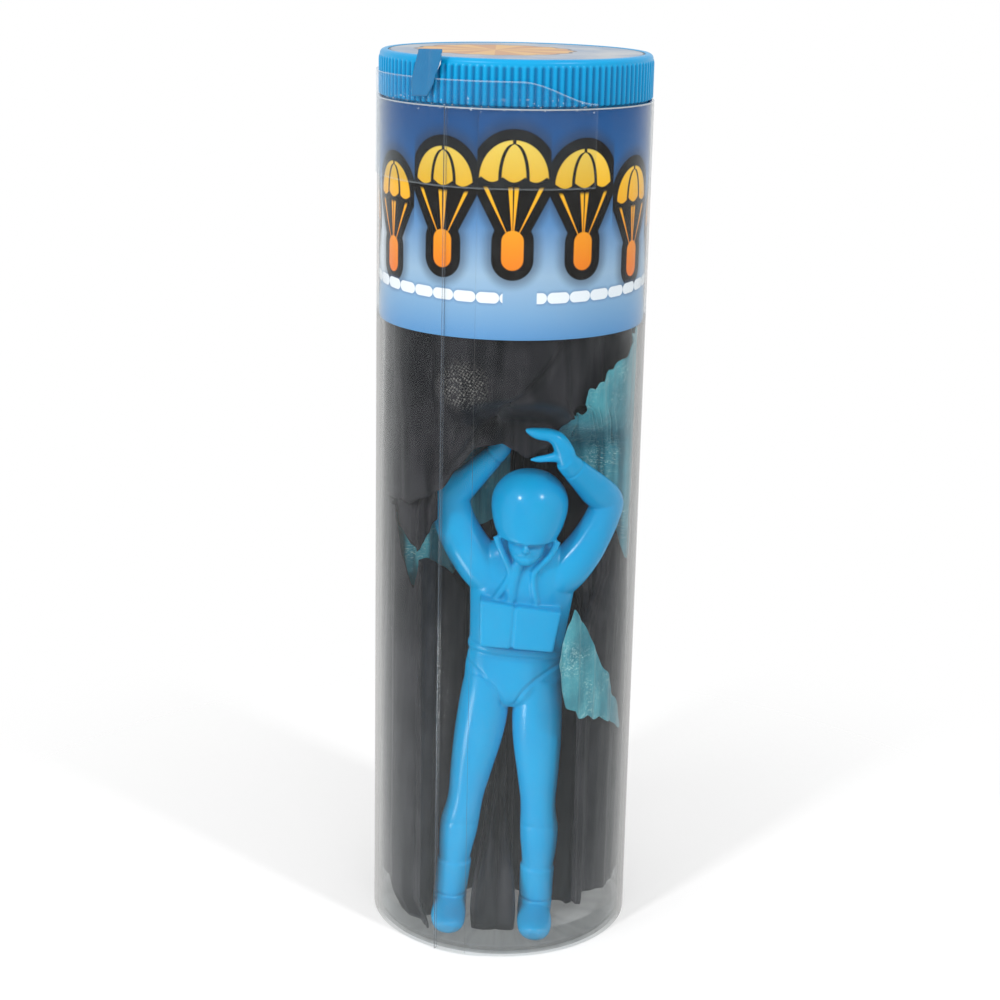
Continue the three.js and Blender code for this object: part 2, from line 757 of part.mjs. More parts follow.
function arm(side, extra) {
  const wrist = wristOf(side);
  const root = LEG_LENGTH + SHOULDER_SHARES[0] * TORSO_LENGTH + BELT_WIDTH;
  const stations = UPPER_ARM_SHARES.map(([across, back, up, wide, deep]) => ({
    at: new THREE.Vector3(
      (side * across * ELBOW_SPREAD) / 2,
      back * ELBOW_BACK,
      lerp(root, ELBOW_HEIGHT, up),
    ),
    wide: (wide * ARM_WIDTH) / 2 + extra,
    deep: (deep * ARM_DEPTH) / 2 + extra,
  }));
  const elbow = stations[stations.length - 1].at;
  for (const [share, wide, deep] of FOREARM_SHARES) {
    stations.push({
      at: elbow.clone().lerp(wrist, share),
      wide: (wide * ARM_WIDTH) / 2 + extra,
      deep: (deep * ARM_DEPTH) / 2 + extra,
    });
  }
  return bar(stations, DEPTH_AXIS, 12, 18);
}

// A hand as an open C: the fingers arch over, and the thumb reaches out below them.
function hand(side, extra) {
  const wrist = wristOf(side);
  const digit = (rows, sides, steps) => {
    const stations = rows.map(([across, up, radius]) => ({
      at: wrist.clone().add(new THREE.Vector3(-side * across * HAND_SPAN, 0, up * HAND_HEIGHT)),
      wide: radius * HAND_RADIUS + extra,
      deep: radius * HAND_RADIUS + extra,
    }));
    return bar(stations, DEPTH_AXIS, sides, steps);
  };
  return [digit(FINGER_SHARES, 8, 9), digit(THUMB_SHARES, 7, 5)];
}

// A moulded ridge on the chest, through rows of [across, up].
function ridge(rows, side, extra) {
  const stations = rows.map(([across, up]) => ({
    at: new THREE.Vector3(
      (side * across * TORSO_WIDTH) / 2 + POUCH_SIDE_SHIFT * smooth(1 - up, 0, 1 - CHEST_SHARES[0]),
      -TORSO_DEPTH / 2,
      LEG_LENGTH + up * TORSO_LENGTH,
    ),
    wide: RIDGE_RADIUS + extra,
    deep: RIDGE_RADIUS + extra,
  }));
  return bar(stations, DEPTH_AXIS, 7, 7);
}

// The middle of the eye's hole, behind the moulding's back.
function eyeBack() {
  return TORSO_DEPTH / 2 + EYE_HOLE_RADIUS;
}

// The eye on the back: a ring that stands out of the moulding, with its hole along X.
function backEye() {
  const outline = new THREE.Shape().absarc(0, 0, EYE_RADIUS, 0, 2 * Math.PI);
  outline.holes.push(new THREE.Path().absarc(0, 0, EYE_HOLE_RADIUS, 0, 2 * Math.PI, true));
  const ring = new THREE.ExtrudeGeometry(outline, {
    depth: EYE_WIDTH,
    bevelEnabled: false,
    curveSegments: 9,
  });
  return ring.translate(0, 0, -EYE_WIDTH / 2).rotateY(Math.PI / 2).translate(0, eyeBack(), EYE_HEIGHT);
}

// The whole moulding, or with an extra skin the space that the cloth leaves free.
function skydiverBody(extra = 0) {
  const parts = [
    torso(extra),
    belt(extra),
    headForm(HELMET_SHARES, HELMET_HEIGHT, 24, 14, extra),
    headForm(FACE_SHARES, CHIN_HEIGHT, 16, 8, extra),
    nose(extra),
    neck(extra),
    ridge(COLLAR_SHARES, 0, extra),
  ];
  const boots = [];
  for (const side of [-1, 1]) {
    parts.push(leg(side, extra), pouch(side, extra), arm(side, extra), ...hand(side, extra));
    parts.push(ridge(RIDGE_SHARES, side, extra));
    boots.push(boot(side, extra));
  }
  return boots.reduce((sum, next) => sum.add(next), joined(parts)).add(solid(backEye()));
}

// The figure's place from front to back: its toes are near the front wall.
function figureAxisY() {
  const toeSide = STANCE_WIDTH / 2 + Math.abs(FIGURE_SIDE_SHIFT);
  const rim = WALL_INNER_RADIUS - GLUE_GAP - BASE_SHEET;
  return TOE_GAP - Math.sqrt(rim ** 2 - toeSide ** 2) + FOOT_LENGTH - heelReach();
}

function figureBackY() {
  return figureAxisY() + TORSO_DEPTH / 2;
}

// The figure leans to the right until its elbow is near the wall.
function leanToWall() {
  const [, , , wide] = UPPER_ARM_SHARES[UPPER_ARM_SHARES.length - 1];
  const elbowReach = (ELBOW_SPREAD + wide * ARM_WIDTH) / 2 + FIGURE_SIDE_SHIFT;
  const wallReach = Math.sqrt(WALL_INNER_RADIUS ** 2 - (figureAxisY() + ELBOW_BACK) ** 2);
  return Math.asin((wallReach - ELBOW_GAP - elbowReach) / ELBOW_HEIGHT);
}

// Rows of [across, up] round the strap's loop: shares of its half width and height.
const STRAP_SHARES = [
  [0, 0],
  [0.7, 0.04],
  [1, 0.3],
  [0.94, 0.7],
  [0.6, 0.96],
  [0, 1],
  [-0.6, 0.96],
  [-0.94, 0.7],
  [-1, 0.3],
  [-0.7, 0.04],
];

// The strap: a flat loop through the eye, leaning back to the folded canopy.
function harnessStrap() {
  const stations = STRAP_SHARES.map(([across, up]) => ({
    at: new THREE.Vector3(
      (across * STRAP_LOOP_WIDTH) / 2,
      eyeBack() + STRAP_LEAN_BACK * up,
      EYE_HEIGHT + up * STRAP_LOOP_HEIGHT,
    ),
    wide: STRAP_THICKNESS / 2,
    deep: STRAP_WIDTH / 2,
  }));
  return solid(bar(stations, DEPTH_AXIS, 6, 24, true));
}

// Folded canopy

// Where the plans pass behind the figure, and from where they keep to the wall: shares of the radius.
const BEHIND_SHARE = -0.18;
const INNER_SHARE = 0.55;
const WALL_SHARE = 0.95;

// A curve through plan points given as shares of the cloth's radius. The inner ones keep their place
// behind the figure's back.
function planCurve(shares) {
  const shift = figureBackY() + PLIES_BEHIND_FIGURE - BEHIND_SHARE * CLOTH_RADIUS;
  const points = shares.map(([x, y]) => {
    const inner = 1 - smooth(Math.hypot(x, y), INNER_SHARE, WALL_SHARE);
    return new THREE.Vector3(x * CLOTH_RADIUS, y * CLOTH_RADIUS + shift * inner, 0);
  });
  return new THREE.CatmullRomCurve3(points, false, "centripetal");
}

// A value that runs through [u, share] rows, smoothly between them.
function along(rows, u) {
  const last = rows.length - 1;
  if (u <= rows[0][0]) return rows[0][1];
  if (u >= rows[last][0]) return rows[last][1];
  const i = rows.findIndex(([at]) => at > u);
  const [from, low] = rows[i - 1];
  const [to, high] = rows[i];
  return lerp(low, high, smooth(u, from, to));
}

// How far the cloth is drawn in at a height: its foot is rounded where it rests on the base.
function drawnIn(z) {
  return 1 - (FOOT_TURN_IN / CLOTH_RADIUS) * (1 - smooth(z, DOME_TOP, DOME_TOP + 3 * FOOT_TURN_IN));
}

// A hanging panel. Its plan turns from a lower curve into an upper one between two heights.
function panel({ lower, upper, turn, low, high, folds, lobes = 0, lobesOn, uSteps, vSteps }, grow = 0) {
  const lowerCurve = planCurve(lower);
  const upperCurve = planCurve(upper ?? lower);
  const scallop = (u) => SCALLOP_DEPTH * Math.abs(Math.sin(Math.PI * lobes * u));
  const point = (u, v) => {
    const foot = CLOTH_TOP * along(low, u) - (lobesOn === "low" ? scallop(u) : 0);
    const head = CLOTH_TOP * along(high, u) + (lobesOn === "high" ? scallop(u) : 0);
    const z = lerp(foot - grow, head + grow, v);
    const share = turn ? smooth(z, CLOTH_TOP * turn[0], CLOTH_TOP * turn[1]) : 0;
    const at = lowerCurve.getPoint(u).lerp(upperCurve.getPoint(u), share);
    const fold = 1 - (PANEL_FOLD / CLOTH_RADIUS) * (1 - Math.cos(2 * Math.PI * folds * u));
    return new THREE.Vector3(at.x, at.y, 0).multiplyScalar(drawnIn(z) * fold).setZ(z);
  };
  return solid(sheet(point, uSteps, vSteps, PLY_THICKNESS + 2 * grow));
}

// Each panel's plans are shares of the cloth's radius, and its heights are shares of its top.
const PANEL_SHARES = [
  {
    name: "black_panel_lower_left",
    colour: COLOURS.black,
    lower: [[-0.955, -0.235], [-0.81, -0.54], [-0.64, -0.7], [-0.6, -0.5], [-0.47, -0.31], [-0.3, -0.215]],
    low: [[0, 0.045], [1, 0.026]],
    high: [[0, 0.44], [0.2, 0.478], [0.36, 0.506], [0.55, 0.475], [0.8, 0.44], [1, 0.43]],
    folds: 3,
    uSteps: 18,
    vSteps: 8,
  },
  {
    name: "teal_panel_left",
    colour: COLOURS.teal,
    lower: [[-0.82, -0.2], [-0.72, -0.38], [-0.6, -0.34], [-0.48, -0.24], [-0.3, -0.14], [0.02, -0.14]],
    low: [[0, 0.45], [0.45, 0.45], [0.7, 0.53], [1, 0.54]],
    high: [[0, 0.6], [0.5, 0.61], [1, 0.63]],
    folds: 2,
    uSteps: 18,
    vSteps: 3,
  },
  {
    name: "black_panel_middle_left",
    colour: COLOURS.black,
    lower: [[-0.955, -0.235], [-0.81, -0.54], [-0.68, -0.66], [-0.6, -0.46]],
    upper: [[-0.88, -0.235], [-0.76, -0.46], [-0.66, -0.58], [-0.55, -0.69]],
    turn: [0.54, 0.585],
    low: [[0, 0.6], [0.2, 0.57], [0.45, 0.518], [0.72, 0.565], [1, 0.61]],
    high: [[0, 0.99], [1, 0.99]],
    folds: 2,
    uSteps: 14,
    vSteps: 6,
  },
  {
    name: "black_panel_upper",
    colour: COLOURS.black,
    lower: [
      [-0.975, -0.16], [-0.83, -0.51], [-0.62, -0.75], [-0.38, -0.78], [-0.12, -0.6],
      [0.1, -0.54], [0.34, -0.56], [0.49, -0.84], [0.64, -0.74],
    ],
    upper: [
      [-0.97, -0.16], [-0.84, -0.51], [-0.66, -0.725], [-0.42, -0.885], [-0.15, -0.968],
      [0.1, -0.975], [0.3, -0.933], [0.48, -0.855], [0.64, -0.74],
    ],
    turn: [0.665, 0.715],
    low: [
      [0, 0.6], [0.15, 0.58], [0.24, 0.59], [0.36, 0.64], [0.5, 0.655],
      [0.6, 0.63], [0.74, 0.62], [0.83, 0.69], [1, 0.7],
    ],
    high: [[0, 0.99], [1, 0.99]],
    folds: 4,
    uSteps: 24,
    vSteps: 7,
  },
  {
    name: "teal_panel_upper_right",
    colour: COLOURS.teal,
    lower: [[0.68, -0.2], [0.74, -0.21], [0.82, -0.21], [0.93, -0.19], [0.975, -0.12]],
    upper: [[0.5, -0.765], [0.66, -0.64], [0.82, -0.44], [0.94, -0.23], [0.97, -0.12]],
    turn: [0.625, 0.7],
    low: [[0, 0.655], [0.3, 0.58], [1, 0.51]],
    high: [[0, 0.705], [0.3, 0.715], [1, 0.765]],
    folds: 2,
    lobes: 5,
    lobesOn: "high",
    uSteps: 20,
    vSteps: 6,
  },
  {
    name: "black_panel_right",
    colour: COLOURS.black,
    lower: [
      [0.36, -0.2], [0.58, -0.34], [0.62, -0.55], [0.58, -0.7],
      [0.74, -0.53], [0.88, -0.3], [0.95, -0.14],
    ],
    upper: [
      [0.36, -0.18], [0.52, -0.2], [0.64, -0.22], [0.74, -0.24],
      [0.82, -0.25], [0.9, -0.24], [0.95, -0.14],
    ],
    turn: [0.4, 0.46],
    low: [[0, 0.026], [1, 0.04]],
    high: [[0, 0.5], [0.6, 0.49], [1, 0.5]],
    folds: 3,
    uSteps: 20,
    vSteps: 9,
  },
  {
    name: "teal_panel_lower_right",
    colour: COLOURS.teal,
    lower: [[0.44, -0.875], [0.6, -0.77], [0.73, -0.645], [0.84, -0.49]],
    low: [[0, 0.4], [0.25, 0.335], [0.6, 0.31], [0.85, 0.3], [1, 0.325]],
    high: [[0, 0.43], [0.1, 0.46], [0.5, 0.4], [1, 0.335]],
    folds: 1,
    lobes: 4,
    lobesOn: "low",
    uSteps: 14,
    vSteps: 4,
  },
];

function canopyPanels(keepClear) {
  return PANEL_SHARES.map((shape) => {
    const body = panel(shape).subtract(keepClear);
    return piece(shape.name, body, shape.colour, 0.6);
  });
}

// A point on the gathered middle's skin, at an angle and a height.
function corePoint(degrees, z) {
  const behind = figureBackY() + CORE_BEHIND_FIGURE;
  const above = smooth(z, HANDS_TOP + PLY_THICKNESS, HANDS_TOP + 4 * FOOT_TURN_IN);
  const frontReach = CLOTH_RADIUS - 4 * PLY_THICKNESS;
  const frontY = lerp(behind, -frontReach, above);
  const centreY = CLOTH_RADIUS / 3;
  const a = radians(degrees);
  const across = Math.sin(a);
  const ahead = -Math.cos(a);
  const b = centreY * ahead;
  const side = ahead < 0 ? frontReach : CLOTH_RADIUS - CORE_FOLD;
  const round = -b + Math.sqrt(b * b + side * side - centreY * centreY);
  const flat = ahead < 0 ? (centreY - frontY) / -ahead : round;
  const fold = CORE_FOLD * (1 - Math.cos(radians(degrees) * CORE_FOLD_COUNT));
  const reach = Math.min(round, flat) - fold;
  return new THREE.Vector3(across * reach, centreY + ahead * reach, z);
}

// Heights of the gathered middle's rings, as shares of the cloth's top.
const CORE_LEVEL_SHARES = [
  0.0145, 0.03, 0.06, 0.12, 0.22, 0.34, 0.46, 0.56, 0.64, 0.68, 0.71, 0.76, 0.86, 1,
];

// The gathered middle of the canopy: it fills the tube behind the figure and above its hands.
function canopyCore(keepClear) {
  const rings = [];
  for (const level of CORE_LEVEL_SHARES) {
    const ring = [];
    for (let k = 0; k < CORE_SIDES; k += 1) {
      const at = corePoint((360 * k) / CORE_SIDES, CLOTH_TOP * level);
      const share = drawnIn(at.z);
      ring.push(new THREE.Vector3(at.x * share, at.y * share, at.z));
    }
    rings.push(ring);
  }
  const rooms = PANEL_SHARES.map((shape) => panel(shape, FIT_GAP));
  return rooms.reduce((left, room) => left.subtract(room), solid(skin(rings)).subtract(keepClear));
}

// Assembly
const footReach = (STANCE_WIDTH + FOOT_WIDTH) / 2;
const figureLean = leanToWall();
const figurePlace = new THREE.Group();
figurePlace.position.set(
  FIGURE_SIDE_SHIFT,
  figureAxisY(),
  FLOOR_TOP + FIT_GAP + footReach * Math.sin(figureLean),
);
figurePlace.rotation.y = figureLean;
figurePlace.add(
  piece("skydiver", skydiverBody(), COLOURS.figure, 0.25),
  piece("harness_strap", harnessStrap(), COLOURS.black, 0.7),
);
figurePlace.updateMatrixWorld(true);
const clearOfFigure = solid(surfaceOf(skydiverBody(FIT_GAP)).applyMatrix4(figurePlace.matrixWorld));

const toyParachute = new THREE.Group();
toyParachute.add(
  piece("tube_wall", tubeWall(), COLOURS.clear, 0.05, 0, 0.25),
  piece("tube_base", tubeBase(), COLOURS.clear, 0.08, 0, 0.35),
  piece("label_insert", labelInsert(), COLOURS.label, 0.5),
  piece("cap", cap(), COLOURS.cap, 0.35),
  piece("cap_disc", capDisc(), COLOURS.disc, 0.45),
  piece("seal_tape", sealTape(), COLOURS.tape, 0.15, 0, 0.3),
  piece("seal_tab", sealTab(), COLOURS.tab, 0.3, 0, 0.85),
  figurePlace,
  piece("canopy_core", canopyCore(clearOfFigure), COLOURS.black, 0.6),
  ...canopyPanels(clearOfFigure),
);

export default toyParachute;
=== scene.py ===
"""Toy parachute in its clear canister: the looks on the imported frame.

Sizes are millimetres in the classes below and metres in Blender. The canister stands on z = 0 with its
axis on Z, and its front faces -Y.
"""
import logging
import math
from dataclasses import dataclass, field
from enum import Enum
from typing import Any, Sequence

import bmesh
import bpy
import numpy as np
from mathutils import Matrix, Vector


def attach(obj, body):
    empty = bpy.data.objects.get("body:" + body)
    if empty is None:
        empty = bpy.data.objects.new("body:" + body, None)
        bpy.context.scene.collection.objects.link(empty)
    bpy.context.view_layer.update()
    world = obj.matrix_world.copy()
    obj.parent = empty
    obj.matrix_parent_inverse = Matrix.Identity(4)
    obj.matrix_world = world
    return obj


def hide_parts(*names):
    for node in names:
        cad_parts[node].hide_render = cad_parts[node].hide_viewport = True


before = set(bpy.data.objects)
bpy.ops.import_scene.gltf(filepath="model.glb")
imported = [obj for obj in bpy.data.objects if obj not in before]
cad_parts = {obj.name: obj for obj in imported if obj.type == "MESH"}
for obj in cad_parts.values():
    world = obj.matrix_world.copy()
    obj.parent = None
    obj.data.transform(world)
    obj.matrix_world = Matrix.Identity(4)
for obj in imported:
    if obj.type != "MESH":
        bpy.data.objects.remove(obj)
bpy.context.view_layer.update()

LOG = logging.getLogger("toy_parachute")
MM = 0.001  # metres in a millimetre
# FACE_ON is the share of painted reflection on clear plastic that is seen face on
FACE_ON = 0.007  # what clear plastic mirrors when it is seen face on
PAPER = 4.0  # how fine the fibres of printed paper are

Point = tuple[float, ...]
Rows = Sequence[Sequence[float]]
Values = np.ndarray | float
Thing = bpy.types.Object
Socket = bpy.types.NodeSocket


def rgb(red: int, green: int, blue: int) -> tuple[float, float, float, float]:
    """A screen colour as the linear colour that a shader takes.

    Args:
        red: Red, 0 to 255.
        green: Green, 0 to 255.
        blue: Blue, 0 to 255.

    Returns:
        Red, green, blue and alpha, 0 to 1.
    """
    parts = []
    for value in (red / 255, green / 255, blue / 255):
        parts.append(value / 12.92 if value <= 0.04045 else ((value + 0.055) / 1.055) ** 2.4)
    return (*parts, 1.0)


# Curves and surfaces


def smooth(value: Values, low: float, high: float) -> Values:
    """A share that rises smoothly from 0 at low to 1 at high."""
    t = np.clip((np.asarray(value, float) - low) / (high - low), 0, 1)
    return t * t * (3 - 2 * t)


def through(points: Rows, t: np.ndarray, even: bool = True, closed: bool = False) -> np.ndarray:
    """Places on a smooth curve through points.

    Args:
        points: The points that the curve passes.
        t: Where on the curve, 0 to 1.
        even: True for evenly timed spans, False for spans timed by their length.
        closed: True for a curve that returns to its start.

    Returns:
        One row for each value of t.
    """
    p = np.asarray(points, float)
    if closed:
        ring = np.vstack([p[-1], p, p[:2]])
        count = len(p)
    else:
        ring = np.vstack([2 * p[0] - p[1], p, 2 * p[-1] - p[-2]])
        count = len(p) - 1
    at = np.clip(np.asarray(t, float), 0, 1) * count
    i = np.minimum(at.astype(int), count - 1)
    w = (at - i)[:, None]
    a, b, c, d = ring[i], ring[i + 1], ring[i + 2], ring[i + 3]
    if even:
        start, end = (c - a) / 2, (d - b) / 2
    else:
        spans = [np.linalg.norm(q - r, axis=1, keepdims=True) for q, r in ((b, a), (c, b), (d, c))]
        e, f, g = [np.maximum(np.sqrt(span), 1e-6) for span in spans]
        start = ((b - a) / e - (c - a) / (e + f) + (c - b) / f) * f
        end = ((c - b) / f - (d - b) / (f + g) + (d - c) / g) * f
    square = -3 * b + 3 * c - 2 * start - end
    cube = 2 * b - 2 * c + start + end
    return b + start * w + square * w**2 + cube * w**3


def follow(rows: Rows, u: np.ndarray) -> np.ndarray:
    """Heights along an edge given as rows of place and height, eased between them.

    Args:
        rows: Rows of place and height.
        u: Places along the edge, 0 to 1.

    Returns:
        A height for each place.
    """
    p = np.asarray(rows, float)
    i = np.clip(np.searchsorted(p[:, 0], u, side="right") - 1, 0, len(p) - 2)
    w = np.clip((u - p[i, 0]) / (p[i + 1, 0] - p[i, 0]), 0, 1)
    w = 0.5 * w + 0.5 * w * w * (3 - 2 * w)
    return p[i, 1] + (p[i + 1, 1] - p[i, 1]) * w


def wander(values: np.ndarray, seed: int, waves: int = 5) -> np.ndarray:
    """A smooth irregular wave of values, about -1 to 1, the same on each run.

    Args:
        values: The values.
        seed: Picks the wave.
        waves: How many waves are added up.

    Returns:
        The wave, one number for each value.
    """
    rng = np.random.default_rng(seed)
    total = np.zeros_like(values, dtype=float)
    for k in range(waves):
        rate = (1 + k) * rng.uniform(0.8, 1.25)
        wave = np.sin(rate * values + rng.uniform(0, 2 * math.pi))
        total += wave * rng.uniform(0.5, 1) / (1 + k) ** 0.7
    return total / 1.8


def round_axis(radius: Values, angle: Values, height: Values, back: float = 0.0) -> np.ndarray:
    """Points round an upright axis.

    Args:
        radius: How far they are from it.
        angle: Their angles in radians, 0 at the front.
        height: Their heights.
        back: How far behind the middle of the toy the axis is.

    Returns:
        The points, with x, y and z along the last axis of the array.
    """
    across, ahead = radius * np.sin(angle), radius * np.cos(angle)
    return np.stack(np.broadcast_arrays(across, back - ahead, height), axis=-1)


@dataclass
class Shape:
    """A mesh in the making, in millimetres."""

    points: list[np.ndarray] = field(default_factory=list)
    faces: list[tuple[int, ...]] = field(default_factory=list)
    count: int = 0

    def rings(
        self, rings: np.ndarray, wrap: bool = True, loop: bool = False, ends: bool = True
    ) -> "Shape":
        """Adds a surface over rings of points.

        Args:
            rings: Points as an array of rings by sides by 3.
            wrap: True where each ring is closed.
            loop: True where the last ring joins the first.
            ends: True to close the first and last ring with a face each.

        Returns:
            This shape.
        """
        many, sides = rings.shape[:2]
        grid = np.arange(many * sides).reshape(many, sides) + self.count
        along = np.vstack([grid, grid[:1]]) if loop else grid
        around = np.hstack([along, along[:, :1]]) if wrap else along
        low, high = around[:-1], around[1:]
        quads = np.stack([low[:, :-1], low[:, 1:], high[:, 1:], high[:, :-1]], axis=-1)
        faces = [tuple(quad) for quad in quads.reshape(-1, 4).tolist()]
        if wrap and not loop and ends:
            faces += [tuple(grid[0][::-1].tolist()), tuple(grid[-1].tolist())]
            if signed_volume(rings) < 0:
                faces = [face[::-1] for face in faces]
        self.faces += faces
        self.points.append(rings.reshape(-1, 3))
        self.count += many * sides
        return self

    def solid(self, points: np.ndarray, faces: Sequence[Sequence[int]]) -> "Shape":
        """Adds points and faces as they are."""
        self.faces += [tuple(i + self.count for i in face) for face in faces]
        self.points.append(np.asarray(points, float))
        self.count += len(points)
        return self

    def made(self, name: str, scale: float = MM) -> Thing:
        """The shape as an object of the scene.

        Args:
            name: The object's name.
            scale: Metres for each unit of the shape.

        Returns:
            The new object, shaded smooth.
        """
        mesh = bpy.data.meshes.new(name)
        mesh.from_pydata((np.vstack(self.points) * scale).tolist(), [], self.faces)
        mesh.validate()
        mesh.shade_smooth()
        thing = bpy.data.objects.new(name, mesh)
        bpy.context.scene.collection.objects.link(thing)
        return thing


def signed_volume(rings: np.ndarray) -> float:
    """About six times the volume inside a skin over rings, with the sign of its facing.

    Args:
        rings: Points as an array of rings by sides by 3.

    Returns:
        The volume, below 0 if the faces face in.
    """
    middle = rings.mean(axis=(0, 1))
    p = rings - middle
    q = np.roll(p, -1, axis=1)
    a, b, c, d = p[:-1], q[:-1], q[1:], p[1:]
    return float((np.cross(a, b) * c).sum() + (np.cross(a, c) * d).sum())


def applied(thing: Thing) -> Thing:
    """Puts an object's modifiers into its mesh.

    Args:
        thing: The object.

    Returns:
        The same object.
    """
    bpy.context.view_layer.update()
    graph = bpy.context.evaluated_depsgraph_get()
    mesh = bpy.data.meshes.new_from_object(thing.evaluated_get(graph))
    thing.modifiers.clear()
    thing.data = mesh
    mesh.shade_smooth()
    return thing


def sharpened(thing: Thing, degrees: float = 35) -> Thing:
    """Keeps edges sharper than an angle from being shaded over."""
    thing.data.set_sharp_from_angle(angle=math.radians(degrees))
    return thing


def turned(profile: Rows, steps: int, name: str) -> Thing:
    """A profile of radius and height, turned about Z into a closed body."""
    p = np.asarray(profile, float)
    turn = np.linspace(0, 2 * math.pi, steps, endpoint=False)
    rings = round_axis(p[:, 0], turn[:, None], p[:, 1])
    return sharpened(faced_out(Shape().rings(rings, loop=True).made(name)))


def faced_out(thing: Thing) -> Thing:
    """Turns the faces of a closed body to face out, and merges its doubled points.

    Args:
        thing: The object.

    Returns:
        The same object.
    """
    mesh = bmesh.new()
    mesh.from_mesh(thing.data)
    bmesh.ops.remove_doubles(mesh, verts=mesh.verts, dist=1e-7)
    bmesh.ops.dissolve_degenerate(mesh, edges=mesh.edges, dist=1e-8)
    bmesh.ops.recalc_face_normals(mesh, faces=mesh.faces)
    mesh.to_mesh(thing.data)
    mesh.free()
    thing.data.shade_smooth()
    return thing


# Shader trees


class Signal:
    """A number that varies over a surface, which takes part in sums like any number."""

    def __init__(self, paint: "Paint", socket: Socket) -> None:
        """Wraps an output socket.

        Args:
            paint: The tree that the socket is in.
            socket: The socket.
        """
        self.paint = paint
        self.socket = socket

    def __add__(self, other: "Signal | float") -> "Signal":
        """The sum."""
        return self.paint.maths("ADD", self, other)

    __radd__ = __add__

    def __sub__(self, other: "Signal | float") -> "Signal":
        """The difference."""
        return self.paint.maths("SUBTRACT", self, other)

    def __rsub__(self, other: float) -> "Signal":
        """The difference from a number."""
        return self.paint.maths("SUBTRACT", other, self)

    def __mul__(self, other: "Signal | float") -> "Signal":
        """The product."""
        return self.paint.maths("MULTIPLY", self, other)

    __rmul__ = __mul__

    def __truediv__(self, other: "Signal | float") -> "Signal":
        """The quotient."""
        return self.paint.maths("DIVIDE", self, other)

    def __rtruediv__(self, other: float) -> "Signal":
        """A number divided by this."""
        return self.paint.maths("DIVIDE", other, self)

    def __pow__(self, other: float) -> "Signal":
        """The power."""
        return self.paint.maths("POWER", self, other)

    def __abs__(self) -> "Signal":
        """The size without its sign."""
        return self.paint.maths("ABSOLUTE", self)

    def __neg__(self) -> "Signal":
        """The negative."""
        return self.paint.maths("MULTIPLY", self, -1.0)

    def over(self, other: "Signal | float") -> "Signal":
        """The larger of two."""
        return self.paint.maths("MAXIMUM", self, other)

    def under(self, other: "Signal | float") -> "Signal":
        """The smaller of two."""
        return self.paint.maths("MINIMUM", self, other)

    def sine(self) -> "Signal":
        """The sine of an angle in radians."""
        return self.paint.maths("SINE", self)

    def cosine(self) -> "Signal":
        """The cosine of an angle in radians."""
        return self.paint.maths("COSINE", self)

    def root(self) -> "Signal":
        """The square root."""
        return self.paint.maths("SQRT", self)

    def nearest(self) -> "Signal":
        """The nearest whole number."""
        return self.paint.maths("ROUND", self)

    def rise(self, low: float, high: float) -> "Signal":
        """A share that goes smoothly from 0 at low to 1 at high, which may be the smaller."""
        settings = {"interpolation_type": "SMOOTHSTEP"}
        values = {"Value": self, "From Min": low, "From Max": high, "To Min": 0.0, "To Max": 1.0}
        made = self.paint.node("ShaderNodeMapRange", settings, values)
        return Signal(self.paint, made.outputs["Result"])


